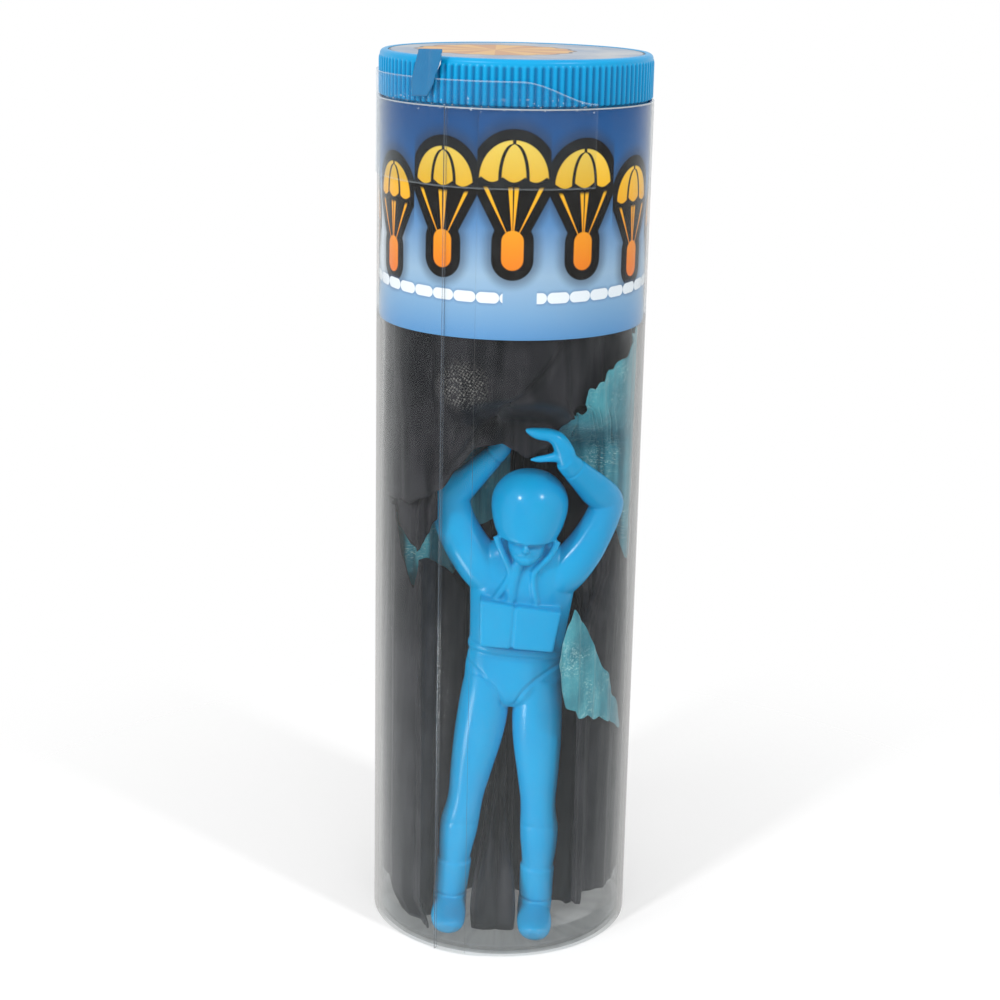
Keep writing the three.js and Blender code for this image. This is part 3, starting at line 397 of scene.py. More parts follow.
class Paint:
    """The node tree of one material or of the world."""

    def __init__(self, tree: bpy.types.NodeTree) -> None:
        """Empties a tree and starts to fill it.

        Args:
            tree: The node tree.
        """
        self.tree = tree
        tree.nodes.clear()

    def node(self, kind: str, settings: dict[str, Any], values: dict[Any, Any]) -> bpy.types.Node:
        """Adds a node.

        Args:
            kind: The node's type.
            settings: Its settings, set first. The stops of a ramp are under "stops".
            values: Numbers, colours, signals or sockets for its inputs, by name or by place.

        Returns:
            The node.
        """
        made = self.tree.nodes.new(kind)
        for name, value in settings.items():
            if name == "stops":
                self._stops(made, value)
            else:
                setattr(made, name, value)
        for name, value in values.items():
            source = value.socket if isinstance(value, Signal) else value
            if isinstance(source, Socket):
                self.tree.links.new(source, made.inputs[name])
            else:
                made.inputs[name].default_value = source
        return made

    def _stops(self, ramp: bpy.types.Node, stops: Sequence[tuple[float, Point]]) -> None:
        """Sets a ramp's stops.

        Args:
            ramp: The ramp's node.
            stops: Rows of place and colour.
        """
        elements = ramp.color_ramp.elements
        while len(elements) < len(stops):
            elements.new(0.5)
        for element, (place, colour) in zip(elements, stops):
            element.position = place
            element.color = colour

    def maths(self, operation: str, *values: Signal | float) -> Signal:
        """A Math node's result."""
        made = self.node("ShaderNodeMath", {"operation": operation}, dict(enumerate(values)))
        return Signal(self, made.outputs[0])

    def place(self) -> tuple[Signal, Signal, Signal]:
        """The place on the piece, in millimetres."""
        where = self.node("ShaderNodeTexCoord", {}, {})
        parts = self.node("ShaderNodeSeparateXYZ", {}, {0: where.outputs["Object"]})
        return tuple(Signal(self, parts.outputs[i]) / MM for i in range(3))

    def angle(self, x: Signal, y: Signal) -> Signal:
        """The angle round the axis in radians, 0 at the front."""
        return self.maths("ARCTAN2", x, -y)

    def joined(self, x: Signal | float, y: Signal | float, z: Signal | float) -> Socket:
        """Three numbers as a vector."""
        return self.node("ShaderNodeCombineXYZ", {}, {0: x, 1: y, 2: z}).outputs[0]

    def noise(self, vector: Socket, scale: float, detail: float = 3.0) -> Signal:
        """Soft noise, 0 to 1, on a vector in millimetres."""
        values = {"Vector": vector, "Scale": scale, "Detail": detail, "Roughness": 0.55}
        return Signal(self, self.node("ShaderNodeTexNoise", {}, values).outputs["Fac"])

    def mixed(self, share: Signal, low: Point | Socket, high: Point | Socket) -> Socket:
        """A colour between two."""
        settings = {"data_type": "RGBA", "clamp_factor": True}
        return self.node("ShaderNodeMix", settings, {0: share, 6: low, 7: high}).outputs[2]

    def ramp(self, share: Signal, stops: Sequence[tuple[float, Point]]) -> Socket:
        """A colour picked from a row of stops."""
        return self.node("ShaderNodeValToRGB", {"stops": stops}, {0: share}).outputs[0]

    def bump(self, height: Signal, strength: float, depth: float) -> Socket:
        """A normal that shows a relief.

        Args:
            height: The relief, 0 to 1.
            strength: How strongly it shows, 0 to 1.
            depth: What a height of 1 stands for, in millimetres.

        Returns:
            The normal.
        """
        values = {"Strength": strength, "Distance": depth * MM, "Height": height}
        return self.node("ShaderNodeBump", {}, values).outputs[0]

    def surface(self, **values: Any) -> Socket:
        """A Principled shader, with its inputs' names written with underscores."""
        named = {name.replace("_", " "): value for name, value in values.items()}
        return self.node("ShaderNodeBsdfPrincipled", {}, named).outputs[0]

    def blend(self, share: Signal, low: Socket, high: Socket) -> Socket:
        """A shader between two."""
        return self.node("ShaderNodeMixShader", {}, {0: share, 1: low, 2: high}).outputs[0]

    def film(self, share: Signal, shown: Socket, tint: Point) -> Socket:
        """A clear film with a share of it shown as a surface."""
        clear = self.node("ShaderNodeBsdfTransparent", {}, {0: tint}).outputs[0]
        return self.blend(share, clear, shown)

    def grazing(self, power: float = 5.0) -> Signal:
        """The share of painted reflection on a clear face: a little face on, and nearly all at a grazing
        angle.
        """
        weight = self.node("ShaderNodeLayerWeight", {}, {"Blend": 0.5})
        return Signal(self, weight.outputs["Facing"]) ** power * 0.95 + FACE_ON


class Finish:
    """A finish that paints a material of its own."""

    name: str

    def shader(self, paint: Paint) -> Socket:
        """The finish's shader."""
        raise NotImplementedError

    def material(self) -> bpy.types.Material:
        """The finish as a material, made once.

        Returns:
            The material.
        """
        known = bpy.data.materials.get(self.name)
        if known:
            return known
        made = bpy.data.materials.new(self.name)
        made.use_nodes = True
        paint = Paint(made.node_tree)
        paint.node("ShaderNodeOutputMaterial", {}, {0: self.shader(paint)})
        return made

    def dress(self, thing: Thing) -> Thing:
        """Puts the finish on an object in place of what it had."""
        thing.data.materials.clear()
        thing.data.materials.append(self.material())
        return thing


@dataclass(frozen=True)
class ClearSheet(Finish):
    """Clear sheet: a faint haze, scuffs, a painted reflection that is paler towards the foot, and pale
    grazing edges of painted reflection.

    A seam, a floor greyed as painted shade, a pale top edge and grey edges of painted reflection are
    there only where they are set.

    Attributes:
        radius: The sheet's radius.
        name: The material's name.
        haze: The pale share all over.
        foot_reflection: What is added to it at the foot, a painted reflection.
        foot_height: Where that ends.
        edge: How pale the grazing edges are, a painted reflection.
        seam: Where the seam is, in degrees.
        floor: How much painted shade greys the floor.
        top: The height of the cut top edge.
        grey_edge_reflection: How grey the grazing edges are, a painted reflection.
        grey_edge_reflection_top: The height above which they are less so.
        tint: What the film lets through.
        colour: What its pale share looks like.
    """

    radius: float
    name: str = "clear_sheet"
    haze: float = 0.005
    foot_reflection: float = 0.024
    foot_height: float = 95.0
    edge: float = 0.62
    seam: float | None = None
    floor: float = 0.0
    top: float = 0.0
    grey_edge_reflection: float = 0.0
    grey_edge_reflection_top: float = 124.0
    tint: Point = (0.985, 0.99, 0.99, 1)
    colour: Point = rgb(214, 220, 222)

    def shader(self, paint: Paint) -> Socket:
        """Clear film with a varying share of pale surface.

        Args:
            paint: The tree to fill.

        Returns:
            The shader.
        """
        x, y, z = paint.place()
        around = paint.angle(x, y) * self.radius
        scuffs = paint.noise(paint.joined(around, z * 0.5, 3.0), 0.35, 6.0)
        share = self.haze_and_reflection(paint, around, z, scuffs)
        colour = self.colour
        if self.seam is not None:
            line = around - math.radians(self.seam) * self.radius
            dark = abs(line - 0.12).rise(0.14, 0.05)
            share = share + dark * 0.4 + abs(line + 0.2).rise(0.14, 0.04) * 0.03
            colour = paint.mixed(dark, self.colour, rgb(52, 66, 82))
        # painted shade: a grey share on the floor darkens what is seen through it
        if self.floor:
            painted_floor_shade = z.rise(2.0, 1.65)
            share = share + painted_floor_shade * (self.floor + (scuffs - 0.5) * 0.3)
            colour = paint.mixed(painted_floor_shade, self.colour, rgb(118, 119, 118))
        if self.top:
            share = share + z.rise(self.top - 0.35, self.top - 0.1) * 0.5
        relief = paint.noise(paint.joined(around * 0.3, z * 0.03, 0.0), 0.5, 2.0)
        gloss = paint.surface(
            Base_Color=colour,
            Roughness=0.09,
            IOR=1.4,
            Normal=paint.bump(relief, 0.25, 0.5),
        )
        film = paint.film(share.under(1.0), gloss, self.tint)
        return self.with_grey_edge_reflection(paint, z, film) if self.grey_edge_reflection else film

    def haze_and_reflection(self, paint: Paint, around: Signal, z: Signal, scuffs: Signal) -> Signal:
        """The pale share of haze, scuffs and dust, and of painted reflection at the foot and on the
        grazing edges.

        Args:
            paint: The tree to fill.
            around: The place across, measured round the axis.
            z: The height.
            scuffs: The noise of the scuffs.

        Returns:
            The share.
        """
        streaks = paint.noise(paint.joined(around, z * 0.06, 0.0), 0.9, 4.0)
        low = 1.0 - (z / self.foot_height).under(1.0).over(0.0)
        dust = paint.noise(paint.joined(around, z, 7.0), 2.6, 3.0).rise(0.66, 0.74)
        # painted reflection: paler towards the foot
        share = self.haze + low * self.foot_reflection * (0.6 + streaks * 0.8)
        share = share + (scuffs - 0.5).over(0.0) * 0.03
        share = share + dust * scuffs.rise(0.4, 0.6) * 0.07
        # painted reflection on the grazing edges
        return share + paint.grazing() * self.edge

    def with_grey_edge_reflection(self, paint: Paint, z: Signal, film: Socket) -> Socket:
        """The film with grey grazing edges of painted reflection, which are weaker above
        grey_edge_reflection_top.
        """
        # painted reflection: a grey surface shown on the grazing edges
        grey = paint.surface(Base_Color=rgb(146, 145, 143), Roughness=0.25, IOR=1.4)
        packed = z.rise(self.grey_edge_reflection_top + 1.5, self.grey_edge_reflection_top - 1.5) * 0.8 + 0.2
        rim = ((paint.grazing(6.0) - FACE_ON) * packed * self.grey_edge_reflection).under(0.8)
        return paint.blend(rim, film, grey)


@dataclass(frozen=True)
class MouldedPlastic(Finish):
    """Glossy moulded plastic with a faint flow pattern, rubbed spots and, where ribs are set, painted
    shade in the rib valleys.
    """

    name: str
    colour: Point
    shade: Point
    roughness: float
    grain: float = 0.6
    depth: float = 0.05
    glow: float = 0.0
    shine: float = 0.25
    # ribs and rib_top set the painted shade in the rib valleys
    ribs: int = 0
    rib_top: float = 0.0

    def shader(self, paint: Paint) -> Socket:
        """A glossy surface whose colour and gloss wander a little.

        Args:
            paint: The tree to fill.

        Returns:
            The shader.
        """
        x, y, z = paint.place()
        vector = paint.joined(x, y, z)
        clouds = paint.noise(vector, 0.09, 4.0)
        grain = paint.noise(vector, 3.2, 3.0)
        rubbed = paint.noise(vector, 0.6, 5.0)
        colour = paint.mixed(clouds.rise(0.3, 0.75), self.colour, self.shade)
        if self.ribs:
            # painted shade: the valleys between the ribs are painted darker
            valley = (paint.angle(x, y) * float(self.ribs)).cosine() * -0.5 + 0.5
            painted_rib_shade = valley**1.5 * z.rise(self.rib_top, self.rib_top - 0.5)
            colour = paint.mixed(painted_rib_shade * 0.8, colour, rgb(0, 96, 150))
        rough = self.roughness + (rubbed - 0.5) * 0.12 + (grain - 0.5) * 0.05
        normal = paint.bump(grain * self.grain + rubbed * 0.4, 0.35, self.depth)
        return paint.surface(
            Base_Color=colour,
            Roughness=rough,
            Normal=normal,
            IOR=1.49,
            Specular_IOR_Level=self.shine,
            Subsurface_Weight=self.glow,
            Subsurface_Radius=(0.001, 0.002, 0.003),
            Subsurface_Scale=1.0,
        )


@dataclass(frozen=True)
class PrintedLabel(Finish):
    """Printed paper band: a sky with clouds, a row of drawn parachutes, and a row of dashes below.

    Attributes:
        name: The material's name.
        low: The height of its lower edge, from which the other heights are taken.
        height: The band's height.
        radius: The band's radius.
        motifs: How many parachutes there are all round.
        middle: The height of the canopies' hems.
        dome: A canopy's radius.
        cord_drop: How far down its cords reach.
        load_drop: How far down its load is.
        load_radius: The load's radius.
        outline: How wide the black outline is.
        dash_pitch: How far apart the dashes are.
        dash_level: Their height.
        dash_end: How far out they go on each side.
    """

    name: str = "printed_label"
    low: float = 124.1
    height: float = 41.4
    radius: float = 25.45
    motifs: int = 12
    middle: float = 29.0
    dome: float = 5.9
    cord_drop: float = 9.5
    load_drop: float = 12.0
    load_radius: float = 1.9
    outline: float = 1.7
    dash_pitch: float = 4.35
    dash_level: float = 7.6
    dash_end: float = 41.0

    def shader(self, paint: Paint) -> Socket:
        """The print under a thin varnish.

        Args:
            paint: The tree to fill.

        Returns:
            The shader.
        """
        x, y, z = paint.place()
        around = paint.angle(x, y) * self.radius
        up = z - self.low
        vector = paint.joined(around, up, 0.0)
        colour = self.sky(paint, around, up, vector)
        colour = self.parachutes(paint, around, up, colour)
        colour = self.dashes(paint, around, up, colour)
        fibres = paint.noise(vector, PAPER, 4.0)
        return paint.surface(
            Base_Color=colour,
            Roughness=0.42 + (fibres - 0.5) * 0.15,
            Normal=paint.bump(fibres, 0.12, 0.03),
            Specular_IOR_Level=0.06,
        )

    def sky(self, paint: Paint, around: Signal, up: Signal, vector: Socket) -> Socket:
        """The blue sky, pale low down, with soft clouds.

        Args:
            paint: The tree to fill.
            around: The place across, measured round the axis.
            up: The height on the label.
            vector: The place on the label as a vector.

        Returns:
            The colour.
        """
        stops = [
            (0.0, rgb(92, 146, 196)),
            (0.1, rgb(118, 162, 202)),
            (0.28, rgb(152, 182, 208)),
            (0.5, rgb(92, 138, 186)),
            (0.78, rgb(36, 92, 150)),
            (1.0, rgb(26, 78, 136)),
        ]
        blue = paint.ramp(up / self.height, stops)
        puffs = paint.noise(vector, 0.11, 3.0)
        bank = ((around + 31.0) / 9.0) ** 2.0 + ((up - 17.0) / 11.0) ** 2.0
        far = (abs(around) - 58.0) / 16.0
        second = far * far + ((up - 19.0) / 10.0) ** 2.0
        cloud = (1.0 - bank).over(1.0 - second).over(0.0) * (0.5 + puffs)
        return paint.mixed(cloud.rise(0.0, 0.7) * 0.85, blue, rgb(226, 234, 242))

    def parachutes(self, paint: Paint, around: Signal, up: Signal, under: Socket) -> Socket:
        """A row of canopies with cords and loads, yellow to orange in a heavy black outline.

        The canopy, the cords and the load are each a distance, which is below 0 inside.

        Args:
            paint: The tree to fill.
            around: The place across, measured round the axis.
            up: The height on the label.
            under: The colour that it is printed on.

        Returns:
            The colour.
        """
        pitch = 2 * math.pi * self.radius / self.motifs
        index = (around / pitch).nearest()
        across = around - index * pitch
        lift = (index * index).under(9.0) * -1.15
        size = 1.06 - abs(index).under(3.0) * 0.07
        height = up - lift - self.middle
        radius = size * self.dome
        hem = abs((across * (3 * math.pi / 2 / self.dome)).cosine()) * 0.9
        dome = (across * across + height * height * 0.82).root() - radius
        dome = dome.over(-height - hem + 0.4)
        down = -height / (size * self.cord_drop)
        side = radius * (1.02 - down * 0.86)
        rig = (abs(across) - side).over(height).over((down - 1.0) * 8.0)
        beyond = (abs(height + size * self.load_drop) - 1.6).over(0.0)
        load = (across * across + beyond**2.0).root() - size * self.load_radius
        whole = dome.under(rig).under(load)
        glow = whole.rise(self.outline + 2.6, self.outline + 0.1) * 0.55
        painted = paint.mixed(glow, under, rgb(46, 52, 66))
        line = whole.rise(self.outline + 0.25, self.outline)
        painted = paint.mixed(line, painted, rgb(16, 12, 10))
        warm = [
            (0.0, rgb(232, 112, 32)),
            (0.35, rgb(240, 150, 34)),
            (0.7, rgb(245, 186, 36)),
            (1.0, rgb(250, 214, 92)),
        ]
        fill = paint.ramp((up - 9.0) / 26.0, warm)
        bulge = (1.0 - (height / radius) ** 2.0).over(0.0).root()
        gore = abs(abs(across) - radius * bulge * 0.4)
        panels = dome.rise(0.12, -0.12) * gore.rise(0.2, 0.42)
        cords = abs(abs(abs(across) / side.over(0.3) - 0.5) - 0.4)
        lines = cords.rise(0.09, 0.05) * rig.rise(0.3, -0.1) * down.rise(0.12, 0.2)
        shown = panels.over(lines).over(load.rise(0.1, -0.12))
        return paint.mixed(shown, painted, fill)

    def dashes(self, paint: Paint, around: Signal, up: Signal, under: Socket) -> Socket:
        """A line of plain white dashes with a soft shadow, which rises to the sides.

        Args:
            paint: The tree to fill.
            around: The place across, measured round the axis.
            up: The height on the label.
            under: The colour that it is printed on.

        Returns:
            The colour.
        """
        bow = up - self.dash_level + (around / 36.0).under(1.0).over(-1.0) ** 2.0 * -0.6
        step = (around / self.dash_pitch).nearest()
        across = abs(around - step * self.dash_pitch) - 1.15
        gap = (across.over(0.0) ** 2.0 + bow * bow).root()
        front = abs(around).rise(self.dash_end, self.dash_end - 1.0)
        front = front * abs(around - 1.5).rise(3.0, 3.2)
        shadow = paint.mixed(gap.rise(1.7, 0.9) * front * 0.35, under, rgb(60, 92, 140))
        return paint.mixed(gap.rise(1.08, 0.92) * front, shadow, rgb(232, 238, 244))


@dataclass(frozen=True)
class PrintedDisc(Finish):
    """Printed disc: a canopy of warm gores from above, on a pale sky."""

    radius: float
    name: str = "printed_disc"
    gores: float = 8.0

    def shader(self, paint: Paint) -> Socket:
        """The print under a thin varnish.

        Args:
            paint: The tree to fill.

        Returns:
            The shader.
        """
        x, y, _ = paint.place()
        vector = paint.joined(x, y, 0.0)
        clouds = paint.noise(vector, 0.08, 4.0)
        sky = paint.mixed(clouds.rise(0.35, 0.7), rgb(132, 150, 172), rgb(176, 180, 184))
        east, north = x + 4.0, y - 1.5
        far = (east * east + north * north).root()
        turn = paint.maths("ARCTAN2", north, east) * self.gores
        wave = far + abs(turn.cosine()) * -0.9
        warm = paint.mixed(turn.sine().rise(-0.1, 0.1), rgb(206, 164, 104), rgb(186, 138, 96))
        colour = paint.mixed(wave.rise(14.6, 14.3), sky, rgb(104, 100, 104))
        colour = paint.mixed(wave.rise(13.9, 13.6), colour, warm)
        rim = (x * x + y * y).root().rise(self.radius - 0.5, self.radius - 0.2)
        colour = paint.mixed(rim, colour, rgb(84, 92, 104))
        fibres = paint.noise(vector, PAPER, 4.0)
        return paint.surface(
            Base_Color=colour,
            Roughness=0.4 + (fibres - 0.5) * 0.1,
            Normal=paint.bump(fibres, 0.1, 0.03),
            Specular_IOR_Level=0.2,
        )


@dataclass(frozen=True)
class SealFilm(Finish):
    """Clear sticky tape: fine wrinkles with painted highlights, a few bubbles, pale cut edges and
    painted reflection at grazing angles.

    Attributes:
        low: The height of its lower edge.
        high: The height of its upper edge on the left.
        tear: The angles between which the upper edge falls, in degrees.
        torn: How far it falls.
        joint: The height of the joint of cap and tube, where bubbles stand.
        name: The material's name.
        radius: The tape's radius.
        tint: What the film lets through.
    """

    low: float
    high: float
    tear: tuple[float, float]
    torn: float
    joint: float
    name: str = "seal_film"
    radius: float = 26.2
    tint: Point = (0.965, 0.975, 0.985, 1)

    def shader(self, paint: Paint) -> Socket:
        """Clear film that shows its edges, bubbles and wrinkles.

        Args:
            paint: The tree to fill.

        Returns:
            The shader.
        """
        x, y, z = paint.place()
        angle = paint.angle(x, y)
        around = angle * self.radius
        bubbles = paint.noise(paint.joined(around, z, 0.0), 1.6, 2.0)
        wrinkles = paint.noise(paint.joined(around * 0.35 + z * 0.3, z * 0.9, 0.0), 0.7, 4.0)
        edge = self.high - (angle * (180 / math.pi)).rise(*self.tear) * self.torn
        share = 0.006 + bubbles.rise(0.62, 0.72) * 0.4 * abs(z - self.joint).rise(2.0, 0.2)
        # painted highlights on the wrinkles above the joint
        share = share + wrinkles.rise(0.62, 0.74) * 0.08 * z.rise(self.joint - 2.0, self.joint + 1.5)
        share = share + z.rise(self.low + 0.4, self.low + 0.1) * 0.08
        share = share + z.rise(edge - 0.35, edge - 0.1) * 0.16
        # painted reflection on the grazing edges
        share = share + paint.grazing() * 0.3
        film = paint.surface(
            Base_Color=rgb(226, 236, 242),
            Roughness=0.12,
            Normal=paint.bump(wrinkles, 0.5, 0.25),
            IOR=1.45,
        )
        return paint.film(share.under(1.0), film, self.tint)


@dataclass(frozen=True)
class PullTab(Finish):
    """Blue film of the pull tab, with white torn fibres down its leaning right edge."""

    foot: float
    name: str = "pull_tab"
    radius: float = 26.5
    lean: float = -0.33
    torn_edge: float = -15.35

    def shader(self, paint: Paint) -> Socket:
        """Blue film, nearly opaque.

        Args:
            paint: The tree to fill.

        Returns:
            The shader.
        """
        x, y, z = paint.place()
        across = paint.angle(x, y) * self.radius + (z - self.foot) * self.lean
        vector = paint.joined(across, z * 0.25, 0.0)
        fibres = paint.noise(vector, 2.4, 5.0)
        clouds = paint.noise(paint.joined(x, y, z), 0.4, 3.0)
        blue = paint.mixed(clouds, rgb(10, 104, 158), rgb(30, 120, 168))
        torn = (across + fibres * 1.2).rise(self.torn_edge, self.torn_edge + 0.25)
        torn = torn * fibres.rise(0.48, 0.54)
        colour = paint.mixed(torn, blue, rgb(222, 232, 240))
        return paint.surface(
            Base_Color=colour,
            Roughness=0.32 + fibres * 0.15,
            Normal=paint.bump(fibres, 0.4, 0.15),
            Alpha=0.94,
        )


@dataclass(frozen=True)
class Satin(Finish):
    """Thin woven satin: a fine weave with painted glints, and slow changes of tone with streaks of
    painted shade.

    A spot is a patch of painted highlight on the weave: its place across, its height and its reach.
    """

    name: str
    colour: Point
    shade: Point
    # glint and glints: the colour and strength of the painted glints, painted highlights of the weave
    painted_glint_colour: Point
    painted_glint_strength: float
    radius: float = 22.0
    roughness: float = 0.5
    sheen: float = 0.0
    shine: float = 0.12
    pitch: float = 0.5
    relief: float = 0.5
    spot: Point = ()

    def shader(self, paint: Paint) -> Socket:
        """A woven surface.

        Args:
            paint: The tree to fill.

        Returns:
            The shader.
        """
        x, y, z = paint.place()
        around = paint.angle(x, y) * self.radius
        vector = paint.joined(x, y, z)
        stray = paint.noise(vector, 0.5, 3.0) * 9.0
        threads = 2 * math.pi / self.pitch
        warp = (around * threads + z * 2.0 + stray).sine()
        weft = (z * threads + around * -2.5 + stray).sine()
        weave = (warp * weft) * 0.5 + 0.5
        specks = paint.noise(paint.joined(around, z, y * 0.2), 2.3, 4.0)
        slow = paint.noise(vector, 0.07, 4.0)
        # patch and dots mask the painted glints
        patch = paint.noise(vector, 0.16, 3.0).rise(0.4, 0.64)
        # slow noise gives a random tone, and the streaks give painted shade like that of pleats and
        # wrinkles
        streaks = paint.noise(paint.joined(around, z * 0.12, 5.0), 0.55, 4.0)
        tone_and_painted_shade = (slow * 0.55 + streaks * 0.45).rise(0.38, 0.62)
        dots = paint.noise(paint.joined(around, z, x * 0.2), 4.5, 2.0).rise(0.6, 0.7)
        # painted highlights: the weave is painted towards the glint colour in patches
        painted_glint_share = (weave * specks.rise(0.45, 0.8) + dots * 0.7) * patch * self.painted_glint_strength
        if self.spot:
            # the spot: a patch of painted highlight
            across, height, reach = self.spot
            near = ((around - across) ** 2.0 + (z - height) ** 2.0).root().rise(reach, reach * 0.3)
            painted_glint_share = painted_glint_share + near * weave**2.0 * specks.rise(0.42, 0.6) * 0.9
        colour = paint.mixed(painted_glint_share, paint.mixed(tone_and_painted_shade, self.shade, self.colour), self.painted_glint_colour)
        return paint.surface(
            Base_Color=colour,
            Roughness=self.roughness + (specks - 0.5) * 0.2,
            Normal=paint.bump(weave * 0.6 + specks * 0.8, self.relief, 0.09),
            Sheen_Weight=self.sheen,
            Sheen_Roughness=0.4,
            Specular_IOR_Level=self.shine,
        )


@dataclass(frozen=True)
class Webbing(Finish):
    """Narrow black woven tape."""

    name: str = "webbing"

    def shader(self, paint: Paint) -> Socket:
        """A ribbed weave.

        Args:
            paint: The tree to fill.

        Returns:
            The shader.
        """
        x, y, z = paint.place()
        ribs = ((y + z) * 9.0).sine() * 0.5 + 0.5
        threads = paint.noise(paint.joined(x, y, z), 3.0, 4.0)
        colour = paint.mixed(ribs * threads, rgb(22, 22, 25), rgb(64, 64, 68))
        return paint.surface(Base_Color=colour, Roughness=0.75, Normal=paint.bump(ribs, 0.6, 0.1))


@dataclass(frozen=True)
class StudioFloor(Finish):
    """Plain white floor, which fades into the white backdrop."""

    name: str = "studio_floor"
    near: float = 60.0
    far: float = 170.0

    def shader(self, paint: Paint) -> Socket:
        """A matt white surface round the toy, and clear further out.

        Args:
            paint: The tree to fill.

        Returns:
            The shader.
        """
        x, y, _ = paint.place()
        share = (x * x + y * y).root().rise(self.far, self.near)
        matt = paint.surface(
            Base_Color=(0.74, 0.74, 0.74, 1),
            Roughness=0.9,
            Specular_IOR_Level=0.0,
            Emission_Color=(1, 1, 1, 1),
            Emission_Strength=0.24,
        )
        return paint.film(share, matt, (1, 1, 1, 1))


class Cloth(Enum):
    """The two cloths of the canopy."""

    # each cloth's shade is the colour of its painted shade, its glint and glints are its painted
    # highlights, and the black's spot is a patch of painted highlight
    BLACK = Satin(
        name="black_satin",
        colour=rgb(42, 41, 45),
        shade=rgb(12, 12, 17),
        painted_glint_colour=rgb(140, 138, 134),
        painted_glint_strength=0.05,
        relief=0.12,
        pitch=0.75,
        spot=(-8.2, 114.5, 6.5),
    )
    TEAL = Satin(
        name="teal_satin",
        colour=rgb(70, 154, 168),
        shade=rgb(38, 112, 128),
        painted_glint_colour=rgb(204, 240, 238),
        roughness=0.42,
        painted_glint_strength=0.9,
        sheen=0.15,
        shine=0.3,
    )


# Canister


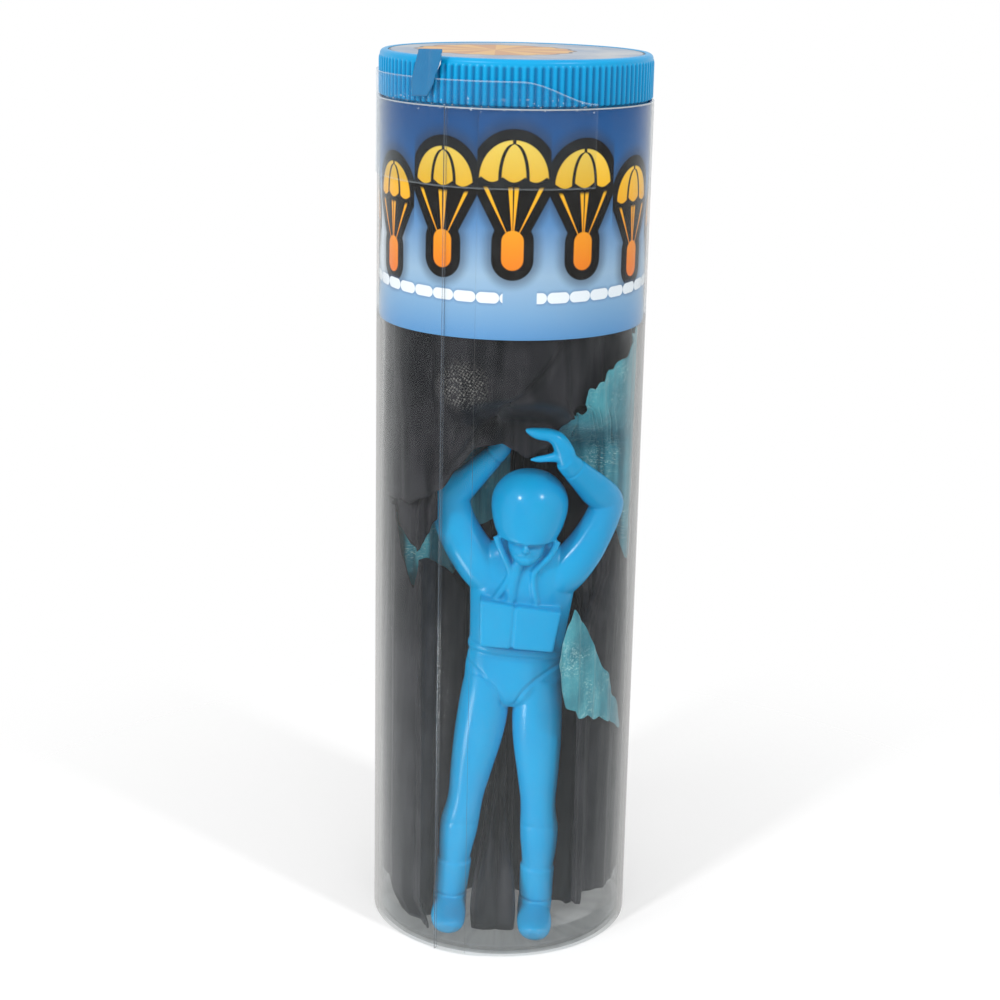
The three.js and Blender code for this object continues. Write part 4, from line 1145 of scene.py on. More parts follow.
@dataclass
class Canister:
    """The clear tube with its base, label, ribbed cap, disc and seal."""

    radius: float = 26.0
    height: float = 165.5
    sheet: float = 0.4
    lap_angle: float = -28.7
    lap_width: float = 6.4
    lap_ramp: float = 5.4
    cap_low: float = 165.8
    cap_height: float = 8.2
    cap_radius: float = 25.75
    ribs: int = 116
    rib_depth: float = 0.4
    spigot_radius: float = 24.85
    spigot_length: float = 7.0
    label_low: float = 124.0
    label_high: float = 165.4
    label_sheet: float = 0.25
    label_opening: float = 1.5
    tape_low: float = 151.3
    tape_high: float = 170.3
    tape_ends: tuple[float, float] = (-125.0, 34.0)
    tape_tear: tuple[float, float] = (2.0, 34.0)
    tape_torn: float = 4.0
    tab_angle: float = -40.5
    tab_foot: float = 166.9
    tab_height: float = 8.4
    tab_width: float = 5.6

    @property
    def lining(self) -> float:
        """The radius of what is pressed into the tube."""
        return self.radius - self.sheet - 0.1

    def wall(self, degrees: np.ndarray) -> tuple[np.ndarray, np.ndarray]:
        """The sheet's outer and inner radius at angles, raised over the lap.

        Args:
            degrees: Angles in degrees.

        Returns:
            The outer and the inner radius for each angle.
        """
        arc = np.radians(np.mod(degrees - self.lap_angle, 360)) * self.radius
        share = 1 - smooth(arc, self.lap_width, self.lap_width + self.lap_ramp)
        outer = self.radius + self.sheet * share
        inner = self.radius - self.sheet + self.sheet * np.where(arc > self.lap_width, share, 0)
        return outer, inner

    def tube(self) -> Thing:
        """The rolled sheet, with its lap seam.

        Returns:
            The tube.
        """
        lap = math.degrees(self.lap_width / self.radius)
        ramp = math.degrees((self.lap_width + self.lap_ramp) / self.radius)
        hair = 0.06
        under = np.linspace(hair, lap - hair, 12)
        falling = np.linspace(lap + hair, ramp, 12)
        single = np.linspace(ramp, 360 - hair, 260)[1:]
        degrees = self.lap_angle + np.concatenate([under, falling, single])
        outer, inner = self.wall(degrees)
        levels = [(outer, 0.0), (outer, self.height), (inner, self.height), (inner, 0.0)]
        rings = np.array([round_axis(r, np.radians(degrees), z) for r, z in levels])
        made = Shape().rings(rings.transpose(1, 0, 2), loop=True).made("clear_tube_wall")
        finish = ClearSheet(
            radius=self.radius,
            seam=self.lap_angle,
            top=self.height,
            # smoke: grey grazing edges of painted reflection
            grey_edge_reflection=3.0,
            grey_edge_reflection_top=self.label_low,
        )
        return finish.dress(sharpened(faced_out(made)))

    def base(self) -> Thing:
        """The formed base cup, with its foot ring and a raised middle.

        Returns:
            The base.
        """
        outer = self.lining
        inner = outer - self.sheet
        ring = outer - 17.0
        rise = ring - 3.4
        profile = [
            (0, 1.2), (rise * 0.6, 1.2), (rise, 1.15), (ring - 1.2, 0.35), (ring, 0),
            (outer - 1.0, 0), (outer - 0.35, 0.1), (outer, 0.5), (outer, 5), (inner, 5),
            (inner, 1.2), (inner - 0.5, 0.5), (inner - 1.2, 0.4), (ring, 0.4), (ring - 1.2, 0.75),
            (rise, 1.55), (rise * 0.6, 1.6), (0, 1.6),
        ]
        made = turned(profile, 128, "clear_base_cup")
        finish = ClearSheet(
            name="clear_base",
            radius=self.radius,
            # foot_reflection and edge set the base's painted reflection, and floor sets its painted
            # shade
            haze=0.008,
            foot_reflection=0.012,
            foot_height=8,
            edge=0.4,
            floor=0.22,
        )
        return finish.dress(made)

    def label(self) -> Thing:
        """The printed band, as a thin wall open at the back.

        Returns:
            The band.
        """
        outer, inner = self.lining, self.lining - self.label_sheet
        half = math.degrees(self.label_opening / outer)
        angles = np.radians(np.linspace(half - 180, 180 - half, 241))
        low, high = self.label_low, self.label_high
        section = np.array([(outer, low), (outer, high), (inner, high), (inner, low)])
        rings = round_axis(section[:, 0], angles[:, None], section[:, 1])
        made = Shape().rings(rings).made("printed_label_band")
        return PrintedLabel().dress(sharpened(faced_out(made)))

    def cap(self) -> Thing:
        """The plug cap, with a rounded rib at each pitch of its skirt.

        The rows are radius, height and the share of the ribs' depth, from the hollow's middle outwards.

        Returns:
            The cap.
        """
        top = self.cap_low + self.cap_height
        around = self.ribs * 10
        turn = np.linspace(0, 2 * math.pi, around, endpoint=False)
        wave = 0.5 - 0.5 * np.cos(turn * self.ribs)
        valley = self.rib_depth * wave**1.6
        rim = self.cap_radius - self.rib_depth / 2
        hollow = self.spigot_radius - 1.2
        inside = top - 2.0
        low = self.cap_low
        spigot = low - self.spigot_length
        rows = [
            (0.01, inside, 0), (hollow, inside, 0), (hollow, spigot, 0),
            (self.spigot_radius - 0.5, spigot, 0), (self.spigot_radius, spigot + 0.5, 0),
            (self.spigot_radius, low, 0), (self.cap_radius - 0.25, low, 1),
            (self.cap_radius, low + 0.25, 1), (self.cap_radius, top - 1.75, 1),
            (self.cap_radius - 0.03, top - 1.45, 0.8),
            (self.cap_radius - 0.12, top - 1.15, 0.25), (rim, top - 1.0, 0), (rim, top - 0.9, 0),
        ]
        rounding, steps = 0.9, 6
        for i in range(1, steps + 1):
            bend = math.pi / 2 * i / steps
            inset, drop = rounding * (1 - math.cos(bend)), rounding * (1 - math.sin(bend))
            rows.append((rim - inset, top - drop, 0))
        lip = self.cap_radius - 1.75
        rows += [(lip + 0.12, top, 0), (lip, top - 0.1, 0), (lip, top - 0.4, 0), (0.01, top - 0.4, 0)]
        rings = [round_axis(r - valley * ribbed, turn, z) for r, z, ribbed in rows]
        made = Shape().rings(np.array(rings)).made("ribbed_cap")
        finish = MouldedPlastic(
            name="cap_plastic_blue",
            colour=rgb(0, 148, 204),
            shade=rgb(0, 154, 208),
            roughness=0.34,
            # the ribs set the painted shade in the rib valleys
            ribs=self.ribs,
            rib_top=top - 1.1,
        )
        return finish.dress(sharpened(faced_out(made), 50))

    def disc(self) -> Thing:
        """The printed disc in the cap's recess.

        Returns:
            The disc.
        """
        radius = self.cap_radius - 1.85
        low = self.cap_low + self.cap_height - 0.35
        profile = [
            (0, low), (radius - 0.03, low), (radius, low + 0.05), (radius, low + 0.2),
            (radius - 0.06, low + 0.25), (0, low + 0.25),
        ]
        return PrintedDisc(radius=radius).dress(turned(profile, 160, "printed_cap_disc"))

    def tape_radius(self, degrees: np.ndarray) -> np.ndarray:
        """The radius of the tape's middle surface, which tents over the lap's edge."""
        before = np.radians(np.mod(self.lap_angle - degrees, 360)) * self.radius
        tent = self.sheet * (1 - smooth(before, 1.8, 3.6))
        return np.maximum(self.wall(degrees)[0], self.radius + tent) + 0.16

    def tape(self) -> Thing:
        """The clear strip over the joint of cap and tube.

        Returns:
            The tape.
        """
        a = np.linspace(*self.tape_ends, 180)
        v = np.linspace(0, 1, 12)
        torn = self.tape_torn * smooth(a, *self.tape_tear)
        z = self.tape_low + np.outer(self.tape_high - self.tape_low - torn, v)
        radius = self.tape_radius(a)[:, None] + 0.03 * np.sin(a[:, None] * 0.9 + z * 0.8)
        made = panel_mesh(radius, a, z, 0.1, "clear_seal_tape")
        finish = SealFilm(
            low=self.tape_low,
            high=self.tape_high,
            tear=self.tape_tear,
            torn=self.tape_torn,
            joint=166.0,
        )
        return finish.dress(made)

    def tab(self) -> Thing:
        """The pull tab, standing on the tape with a torn right edge.

        Returns:
            The tab.
        """
        u = np.linspace(-0.5, 0.5, 14)
        v = np.linspace(0, 1, 20)
        spread = math.degrees(self.tab_width / self.radius)
        narrow = 1 - 0.35 * smooth(-v, -0.35, 0.0)
        ragged = 0.03 * np.sin(v * 11) + 0.012 * np.sin(v * 47 + 1)
        a = self.tab_angle + 6 * v[None, :] + spread * (u[:, None] * narrow[None, :])
        a = a + np.where(u[:, None] > 0.45, spread * ragged[None, :], 0)
        z = np.tile(self.tab_foot + self.tab_height * v, (len(u), 1)) + 0.25 * u[:, None]
        lift = 0.38 + 0.25 * smooth(v, 0.7, 1.0)[None, :] * (u[:, None] + 0.5)
        radius = self.tape_radius(a.ravel()).reshape(a.shape) + lift
        made = panel_mesh(radius, a, z, 0.16, "blue_pull_tab")
        return PullTab(foot=self.tab_foot).dress(made)

    def build(self) -> list[Thing]:
        """Makes the canister and sets each piece on its body.

        Returns:
            The pieces.
        """
        rows = [
            (self.tube(), "tube", "tube_wall", "clear_tube"),
            (self.base(), "tube", "tube_base", "clear_tube"),
            (self.label(), "tube", "label_insert", "printed_paper"),
            (self.tape(), "tube", "seal_tape", "clear_tape"),
            (self.tab(), "tube", "seal_tab", "tab_plastic"),
            (self.cap(), "cap", "cap", "cap_plastic"),
            (self.disc(), "cap", "cap_disc", "disc_paper"),
        ]
        for thing, body, node, slot in rows:
            settle(thing, body, node)
        return [row[0] for row in rows]


def panel_mesh(
    radius: np.ndarray, degrees: np.ndarray, z: np.ndarray, thickness: float, name: str
) -> Thing:
    """A thin curved sheet round the axis.

    Args:
        radius: The radius of its middle surface, on a grid that runs around and then up.
        degrees: The angles, on the same grid or one for each column.
        z: The heights, on the same grid.
        thickness: Its thickness.
        name: The object's name.

    Returns:
        The closed thin body.
    """
    angle = np.radians(degrees if degrees.ndim == 2 else degrees[:, None])
    made = Shape().rings(round_axis(radius, angle, z), wrap=False).made(name)
    return thickened(made, thickness)


def thickened(thing: Thing, thickness: float) -> Thing:
    """Gives an open surface a thickness, half on each side.

    Args:
        thing: The object.
        thickness: The thickness.

    Returns:
        The same object.
    """
    solid = thing.modifiers.new("thickness", "SOLIDIFY")
    solid.thickness = thickness * MM
    solid.offset = 0
    solid.use_even_offset = False
    return applied(thing)


def settle(thing: Thing, body: str, node: str) -> None:
    """Sets a piece on a body in place of a CAD node.

    Args:
        thing: The piece.
        body: The body that it rides on.
        node: The CAD node that it stands for.
    """
    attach(thing, body)
    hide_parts(node)
    LOG.info("%s stands for %s on %s, %d faces", thing.name, node, body, len(thing.data.polygons))


# Skydiver


@dataclass
class Skydiver:
    """The moulded figure, in its own frame: soles at z = 0 and front towards -y.

    Its rows are (x,) y, z, half width and half depth. Side 1 is right in the front view, and -1 left.
    """

    lean: float = 3.85
    place: Point = (-1.5, -11.4, 1.45)
    voxel: float = 0.24
    wrist_across: float = 6.2
    wrist_height: float = 98.0
    right_hand_back: float = -4.8
    left_hand_back: float = 2.6
    cuff_share: float = 0.84
    eye_back: float = 6.2
    eye_height: float = 70.0
    legs: Rows = (
        (8.6, 0.2, 1.0, 2.95, 3.1), (8.7, 0.1, 4.5, 3.0, 3.2), (8.6, 0, 8, 2.95, 3.2),
        (8.45, 0, 12, 3.1, 3.3), (8.4, 0, 15, 3.45, 3.5), (8.2, 0, 18, 3.75, 3.7),
        (8.0, 0, 21, 3.85, 3.75), (7.55, -0.1, 24, 3.6, 3.7), (7.2, -0.1, 27, 3.6, 3.6),
        (6.7, 0, 32, 4.15, 3.9), (5.95, 0, 38.6, 4.8, 4.2), (5.45, 0, 44, 5.0, 4.35),
        (5.2, 0, 49, 4.85, 4.3), (5.0, 0, 53, 4.5, 4.1),
    )
    torso: Rows = (
        (0, 46.6, 2.2, 2.2), (0, 48.2, 5.6, 3.8), (0, 50.5, 9.2, 4.5), (0, 53.5, 9.7, 4.55),
        (0, 58, 9.35, 4.3), (0, 62, 9.45, 4.5), (0, 66, 9.75, 4.75), (0, 70, 10.1, 4.9),
        (0, 73.5, 10.35, 4.7), (0, 76.5, 9.9, 4.3), (0, 79, 7.6, 3.6), (0, 81, 4.6, 2.8),
    )
    right_arm: Rows = (
        (5.0, 0, 72.2, 4.4, 3.9), (8.2, 0.2, 75.3, 4.35, 3.8), (11.0, 0.7, 79.0, 3.95, 3.5),
        (13.1, 1.4, 83.0, 3.55, 3.2), (14.5, 2.0, 86.6, 3.3, 3.0), (14.9, 2.2, 89.3, 3.2, 2.85),
    )
    left_arm: Rows = (
        (5.0, 0, 71.9, 4.5, 3.9), (8.3, 0.2, 74.8, 4.6, 3.8), (11.3, 0.7, 78.2, 4.35, 3.5),
        (13.6, 1.4, 81.8, 4.1, 3.2), (14.9, 2.0, 85.0, 3.85, 3.0), (15.1, 2.2, 87.7, 3.65, 2.85),
    )
    helmet: Rows = (
        (-1.3, 82.05, 5.2, 6.8), (-1.35, 82.3, 5.75, 7.35), (-1.2, 83.5, 6.4, 7.5),
        (-1.0, 85.6, 7.05, 7.6), (-0.85, 87.9, 7.4, 7.65), (-0.75, 90.0, 7.2, 7.4),
        (-0.75, 91.9, 6.3, 6.45), (-0.75, 93.4, 4.9, 5.0), (-0.75, 94.4, 3.1, 3.2),
        (-0.75, 94.85, 1.0, 1.0),
    )
    face: Rows = (
        (-5.6, 77.45, 1.0, 1.1), (-4.9, 78.0, 2.1, 2.35), (-4.1, 79.2, 3.05, 3.5),
        (-3.4, 80.6, 3.6, 4.1), (-3.1, 82.2, 3.95, 4.2), (-2.8, 84.2, 4.2, 4.4),
    )

    def stacked(self, rows: Rows, steps: int, sides: int = 40, side: float = 1) -> np.ndarray:
        """Level rings up through rows, which are in the middle where they have no x.

        Args:
            rows: Rows of (x,) y, z, half width and half depth.
            steps: How many rings there are.
            sides: How many points a ring has.
            side: 1 for the right one and -1 for the left one.

        Returns:
            The rings.
        """
        p = np.asarray([(0, *row) if len(row) == 4 else row for row in rows], float)
        x, y, z, wide, deep = through(p, np.linspace(0, 1, steps)).T[:, :, None]
        turn = np.linspace(0, 2 * math.pi, sides, endpoint=False)
        parts = side * x + wide * np.cos(turn), y + deep * np.sin(turn), z
        return np.stack(np.broadcast_arrays(*parts), axis=-1)

    def limb(
        self, rows: Rows, steps: int, sides: int = 28, axis: Point = (0, 1, 0), side: float = 1
    ) -> np.ndarray:
        """Rings square to a bent limb through rows, with their depth along an axis.

        Args:
            rows: Rows of x, y, z, half width and half depth.
            steps: How many rings there are.
            sides: How many points a ring has.
            axis: The direction of the depth.
            side: 1 for the right one and -1 for the left one.

        Returns:
            The rings.
        """
        rows = [(side * x, *row) for x, *row in rows]
        p = through(rows, np.linspace(0, 1, steps))
        ahead = np.gradient(p[:, :3], axis=0)
        ahead /= np.linalg.norm(ahead, axis=1, keepdims=True)
        across = np.cross(ahead, np.array(axis, float))
        across /= np.linalg.norm(across, axis=1, keepdims=True)
        back = np.cross(across, ahead)
        turn = np.linspace(0, 2 * math.pi, sides, endpoint=False)
        wide = across[:, None, :] * (p[:, 3:4] * np.cos(turn))[:, :, None]
        deep = back[:, None, :] * (p[:, 4:5] * np.sin(turn))[:, :, None]
        return p[:, None, :3] + wide + deep

    def hand(self, side: float) -> list[np.ndarray]:
        """The open hand: the fingers arch over, and the thumb reaches out below them.

        Args:
            side: 1 for the right one and -1 for the left one.

        Returns:
            The rings of the fingers and of the thumb.
        """
        back = self.wrist(side)[1]
        fingers = [
            (6.2, 97.4, 1.6, 1.4), (5.9, 99.2, 1.85, 1.6), (5.0, 101.0, 1.75, 1.7),
            (3.9, 102.4, 1.5, 1.7), (2.3, 103.1, 1.25, 1.6), (0.5, 103.15, 1.15, 1.45),
            (-1.0, 103.4, 0.85, 1.1), (-2.2, 103.7, 0.3, 0.4),
        ]
        thumb = [
            (6.0, 99.0, 1.3, 1.3), (4.6, 99.0, 1.15, 1.15), (3.4, 98.8, 0.9, 0.95),
            (2.2, 98.5, 0.7, 0.75), (0.7, 98.2, 0.6, 0.65), (-0.9, 97.95, 0.2, 0.25),
        ]
        return [
            self.limb([(x, back, *row) for x, *row in rows], steps, 20, side=side)
            for rows, steps in ((fingers, 26), (thumb, 18))
        ]

    def wrist(self, side: float) -> np.ndarray:
        """The point of a wrist, with the right hand forward and the left hand back."""
        back = self.right_hand_back if side > 0 else self.left_hand_back
        return np.array([side * self.wrist_across, back, self.wrist_height])

    def elbow(self, side: float) -> np.ndarray:
        """The point of an elbow."""
        x, y, z = (self.right_arm if side > 0 else self.left_arm)[-1][:3]
        return np.array([side * x, y, z])

    def forearm(self, side: float, share: float) -> np.ndarray:
        """The point at a share of the way from an elbow to its wrist."""
        elbow = self.elbow(side)
        return elbow + (self.wrist(side) - elbow) * share

    def arm(self, side: float) -> np.ndarray:
        """Upper arm, elbow and forearm in one.

        Args:
            side: 1 for the right one and -1 for the left one.

        Returns:
            The rings.
        """
        upper = self.right_arm if side > 0 else self.left_arm
        rows = [(side * x, *row) for x, *row in upper]
        more = 0.35 if side > 0 else 0.1
        sleeve = ((0.28, 2.9, 2.6), (0.6, 2.4, 2.25), (0.88, 2.0, 1.9), (1.05, 1.7, 1.6))
        for share, wide, deep in sleeve:
            rows.append((*self.forearm(side, share), wide + more, deep))
        return self.limb(rows, 64, 32)

    def cuff(self, side: float) -> np.ndarray:
        """The sleeve's edge, a low step round the forearm."""
        rows = [(*self.forearm(side, share), 2.12, 2.0) for share in (0.5, 0.66, self.cuff_share)]
        return self.limb(rows, 10)

    def boot(self, side: float) -> list[np.ndarray]:
        """A boot: a shaft a step wider than the leg, and a foot with a round toe.

        Args:
            side: 1 for the right one and -1 for the left one.

        Returns:
            The rings of the shaft and of the foot.
        """
        shaft = [
            (8.65, 0.1, 1.6, 3.45, 3.35), (8.7, 0.05, 5, 3.4, 3.3), (8.55, 0, 8.5, 3.4, 3.4),
            (8.45, 0, 12.1, 3.5, 3.55),
        ]
        foot = [
            (8.6, 3.2, 2.3, 1.6, 1.8), (8.6, 2.2, 2.4, 2.6, 2.5), (8.6, -1.5, 2.5, 3.3, 2.6),
            (8.7, -5.5, 2.1, 3.5, 2.2), (8.65, -8.4, 1.9, 3.15, 1.95), (8.6, -9.9, 1.75, 2.4, 1.6),
            (8.55, -10.6, 1.6, 1.2, 0.9),
        ]
        sole = self.limb(foot, 30, axis=(0, 0, 1), side=side)
        sole[:, :, 2] = np.maximum(sole[:, :, 2], 0)
        return [self.stacked(shaft, 16, 36, side), sole]

    def pouch(self, side: float) -> np.ndarray:
        """A chest pouch, a block with soft edges that narrows a little towards its foot.

        Args:
            side: 1 for the right one and -1 for the left one.

        Returns:
            The rings.
        """
        inner, outer = (0.2, 9.1) if side > 0 else (0.12, 6.9)
        slope = -0.5 if side > 0 else 0.7
        shift, low, high = -1.15, 60.4, 69.2
        rings = []
        for y, grow in ((-3.4, 0), (-6.55, 0), (-6.95, -0.12), (-7.1, -0.4)):
            corners = [
                (inner - grow, low - grow), (outer - 0.75 + grow, low - grow),
                (outer + grow, high + slope + grow), (inner - grow, high + grow),
            ]
            ring = []
            for (x0, z0), (x1, z1) in zip(corners, corners[1:] + corners[:1]):
                for t in np.linspace(0.04, 0.96, 12):
                    ring.append((side * (x0 + (x1 - x0) * t) + shift, y, z0 + (z1 - z0) * t))
            rings.append(ring)
        return np.array(rings)

    def ridges(self) -> list[np.ndarray]:
        """The harness and collar as low moulded ridges.

        Returns:
            The rings of each ridge.
        """
        paths = [
            [(-5.9, 82.2), (-4.6, 79.4), (-3.1, 76.6), (-2.6, 74.8), (-3.6, 72.2), (-5.2, 69.2)],
            [(5.9, 82.2), (4.7, 79.2), (2.6, 76.6), (1.9, 75.2), (2.1, 72.8), (2.9, 69.4)],
            [(-0.6, 78.4), (-1.3, 76.4), (-1.9, 73.4), (-2.0, 69.6)],
        ]
        made = []
        for path, size in zip(paths, ((0.75, 0.8), (0.7, 0.75), (1.1, 0.9))):
            rows = [(x, -4.75 + 0.05 * abs(x) + 0.1 * max(z - 79, 0), z, *size) for x, z in path]
            made.append(self.limb(rows, 30, 16))
        return made

    def belt(self) -> np.ndarray:
        """The belt, a rounded band at the waist."""
        rows = [
            (-0.1, 58.0, 9.3, 4.3), (-0.1, 58.4, 9.55, 4.75),
            (-0.1, 59.4, 9.6, 4.85), (-0.1, 59.9, 9.3, 4.3),
        ]
        return self.stacked(rows, 8)

    def nose(self) -> np.ndarray:
        """The nose, a small wedge under the helmet's brim.

        Returns:
            The rings.
        """
        rows = [
            (-0.15, -6.9, 82.3, 0.45, 0.6), (-0.15, -7.6, 81.6, 0.5, 0.7),
            (-0.15, -8.0, 80.9, 0.85, 0.75), (-0.15, -7.3, 80.35, 0.6, 0.5),
        ]
        return self.limb(rows, 10, 14)

    def eye(self) -> Shape:
        """The eye on the back that the strap goes through.

        Returns:
            The eye's shape.
        """
        turn = np.linspace(0, 2 * math.pi, 40, endpoint=False)[:, None]
        tube = np.linspace(0, 2 * math.pi, 16, endpoint=False)
        reach = 2.3 + 0.7 * np.cos(tube)
        back, up = self.eye_back + reach * np.cos(turn), self.eye_height + reach * np.sin(turn)
        rings = np.stack(np.broadcast_arrays(1.3 * np.sin(tube), back, up), axis=-1)
        return Shape().rings(rings, loop=True)

    def blank(self) -> Thing:
        """All parts of the moulding in one object, still overlapping, in millimetres.

        Returns:
            The object.
        """
        shape = self.eye()
        parts = [self.stacked(self.torso, 50, 56), self.belt(), self.nose()]
        parts += [self.stacked(self.helmet, 40, 64), self.stacked(self.face, 26), *self.ridges()]
        neck = [(0.2, 76, 3.4, 3.2), (-0.3, 80, 3.0, 3.0), (-0.6, 86, 3.0, 3.0)]
        parts.append(self.stacked(neck, 12))
        for side in (-1.0, 1.0):
            parts += [self.stacked(self.legs, 70, side=side), self.arm(side), self.cuff(side)]
            parts += [*self.hand(side), *self.boot(side), self.pouch(side)]
        for part in parts:
            shape.rings(part)
        return shape.made("skydiver_moulding", 1.0)

    def fused(self, thing: Thing) -> tuple[np.ndarray, np.ndarray, np.ndarray]:
        """Fuses the overlapping parts into one skin.

        Args:
            thing: The object with the parts.

        Returns:
            The skin's points, quads and edges.
        """
        remesh = thing.modifiers.new("fuse", "REMESH")
        remesh.mode = "VOXEL"
        remesh.voxel_size = self.voxel
        mesh = applied(thing).data
        points = np.zeros(len(mesh.vertices) * 3)
        mesh.vertices.foreach_get("co", points)
        edges = np.zeros(len(mesh.edges) * 2, int)
        mesh.edges.foreach_get("vertices", edges)
        quads = np.zeros(len(mesh.loops), int)
        mesh.loops.foreach_get("vertex_index", quads)
        return points.reshape(-1, 3), quads.reshape(-1, 4), edges.reshape(-1, 2)

    def build(self) -> Thing:
        """Makes the figure and sets it on its body.

        Returns:
            The figure.
        """
        blank = self.blank()
        points, quads, edges = self.fused(blank)
        points = relaxed(points, edges, 10, self.softness(points))
        points = relaxed(self.carved(points, quads), edges, 2, np.ones(len(points)))
        bpy.data.objects.remove(blank)
        made = Shape().solid(self.world(points), quads.tolist()).made("moulded_skydiver")
        finish = MouldedPlastic(
            name="figure_plastic_blue",
            colour=rgb(0, 146, 200),
            shade=rgb(4, 154, 206),
            roughness=0.2,
            grain=0.25,
            glow=0.04,
            shine=0.24,
        )
        finish.dress(made)
        settle(made, "toy", "skydiver")
        return made

    def softness(self, points: np.ndarray) -> np.ndarray:
        """How much each point of the skin is smoothed: less where edges are crisp.

        Args:
            points: The skin's points.

        Returns:
            A weight for each point, 0 to 1.
        """
        x, y, z = points.T
        pouches = (z > 60) & (z < 71.4) & (y < -4.6) & (np.abs(x + 1.1) < 8.6)
        face = (z > 76.8) & (z < 84.2) & (y < -4.5) & (np.abs(x) < 6.4)
        fingers = z > 97
        boots = (z < 6) | ((z > 11) & (z < 13.6))
        return np.where(pouches, 0.3, np.where(face, 0.25, np.where(fingers | boots, 0.45, 0.9)))

    def carved(self, points: np.ndarray, quads: np.ndarray) -> np.ndarray:
        """Cuts the fine lines of the moulding into the skin.

        Args:
            points: The skin's points.
            quads: The skin's faces.

        Returns:
            The moved points.
        """
        normals = point_normals(points, quads)
        x, y, z = points.T
        depth = np.zeros(len(points))
        front = smooth(-normals[:, 1], 0.05, 0.4)
        lines = [
            ([(-9.4, 55.2), (-7.2, 54.0), (-4.7, 52.1), (-2.9, 50.0), (-1.8, 47.4)], 0.34, 0.36),
            ([(9.0, 56.6), (6.7, 55.2), (3.9, 53.0), (1.9, 50.6), (0.6, 47.6)], 0.34, 0.36),
            ([(-2.0, 79.35), (-0.9, 79.15), (0.0, 79.1), (0.8, 79.15), (1.8, 79.35)], 0.26, 0.22),
            ([(-3.1, 81.3), (-1.2, 81.5)], 0.4, 0.5),
            ([(0.9, 81.5), (2.8, 81.3)], 0.4, 0.5),
        ]
        for path, cut, width in lines:
            depth -= cut * front * np.exp(-((distance_to(path, x, z) / width) ** 2))
        for side, ankle, knee in ((-1, 5.0, 21.2), (1, 5.2, 21.8)):
            near = smooth(side * x, 3.2, 4.2)
            depth -= 0.34 * near * np.exp(-(((z - ankle) / 0.3) ** 2)) * smooth(-y, -1, 1.5)
            fold = z - knee + 0.03 * (x - side * 8) ** 2
            depth -= 0.13 * near * front * np.exp(-((fold / 0.5) ** 2))
            along = (self.forearm_share(points, side) - self.cuff_share) / 0.02
            depth -= 0.22 * np.exp(-(along**2)) * smooth(side * x, 5, 6) * smooth(z, 92, 94)
        depth -= 0.12 * np.exp(-(((z - 57.6) / 0.3) ** 2)) * smooth(10.5 - np.abs(x), 0, 1)
        return points + normals * depth[:, None]

    def forearm_share(self, points: np.ndarray, side: float) -> np.ndarray:
        """How far along a forearm each point is, 0 at the elbow and 1 at the wrist."""
        elbow = self.elbow(side)
        whole = self.wrist(side) - elbow
        return (points - elbow) @ whole / (whole**2).sum()

    def world(self, points: np.ndarray) -> np.ndarray:
        """Leans the figure and sets it in its place in the tube."""
        a = math.radians(self.lean)
        x, y, z = points.T
        across, up = x * math.cos(a) + z * math.sin(a), z * math.cos(a) - x * math.sin(a)
        return np.stack([across, y, up], -1) + np.array(self.place)


def point_normals(points: np.ndarray, quads: np.ndarray) -> np.ndarray:
    """The outward normal at each point of a skin of quads.

    Args:
        points: The skin's points.
        quads: The skin's faces.

    Returns:
        A direction for each point.
    """
    a, b, c, d = (points[quads[:, i]] for i in range(4))
    face = np.cross(c - a, d - b)
    total = np.zeros_like(points)
    for i in range(4):
        for k in range(3):
            total[:, k] += np.bincount(quads[:, i], face[:, k], len(points))
    return total / np.maximum(np.linalg.norm(total, axis=1, keepdims=True), 1e-9)


def relaxed(points: np.ndarray, edges: np.ndarray, times: int, weight: np.ndarray) -> np.ndarray:
    """Smooths a skin without shrinking it.

    Args:
        points: The skin's points.
        edges: Its edges.
        times: How often each point moves towards the middle of its neighbours and partly back.
        weight: How much each point moves, 0 to 1.

    Returns:
        The moved points.
    """
    ends = np.concatenate([edges[:, 0], edges[:, 1]])
    others = np.concatenate([edges[:, 1], edges[:, 0]])
    size = len(points)
    count = np.maximum(np.bincount(ends, minlength=size), 1)[:, None]
    for _ in range(times):
        for pull in (0.6, -0.5):
            total = np.stack([np.bincount(ends, points[others, k], size) for k in range(3)], -1)
            points = points + pull * weight[:, None] * (total / count - points)
    return points


def distance_to(path: Rows, x: np.ndarray, z: np.ndarray) -> np.ndarray:
    """How far each place is from a line through points, in the front view.

    Args:
        path: The line's points.
        x: Places across.
        z: Heights.

    Returns:
        A distance for each place.
    """
    p = through(path, np.linspace(0, 1, 24))
    best = np.full(len(x), 1e9)
    for (x0, z0), (x1, z1) in zip(p[:-1], p[1:]):
        dx, dz = x1 - x0, z1 - z0
        t = np.clip(((x - x0) * dx + (z - z0) * dz) / (dx * dx + dz * dz), 0, 1)
        best = np.minimum(best, np.hypot(x - x0 - t * dx, z - z0 - t * dz))
    return best


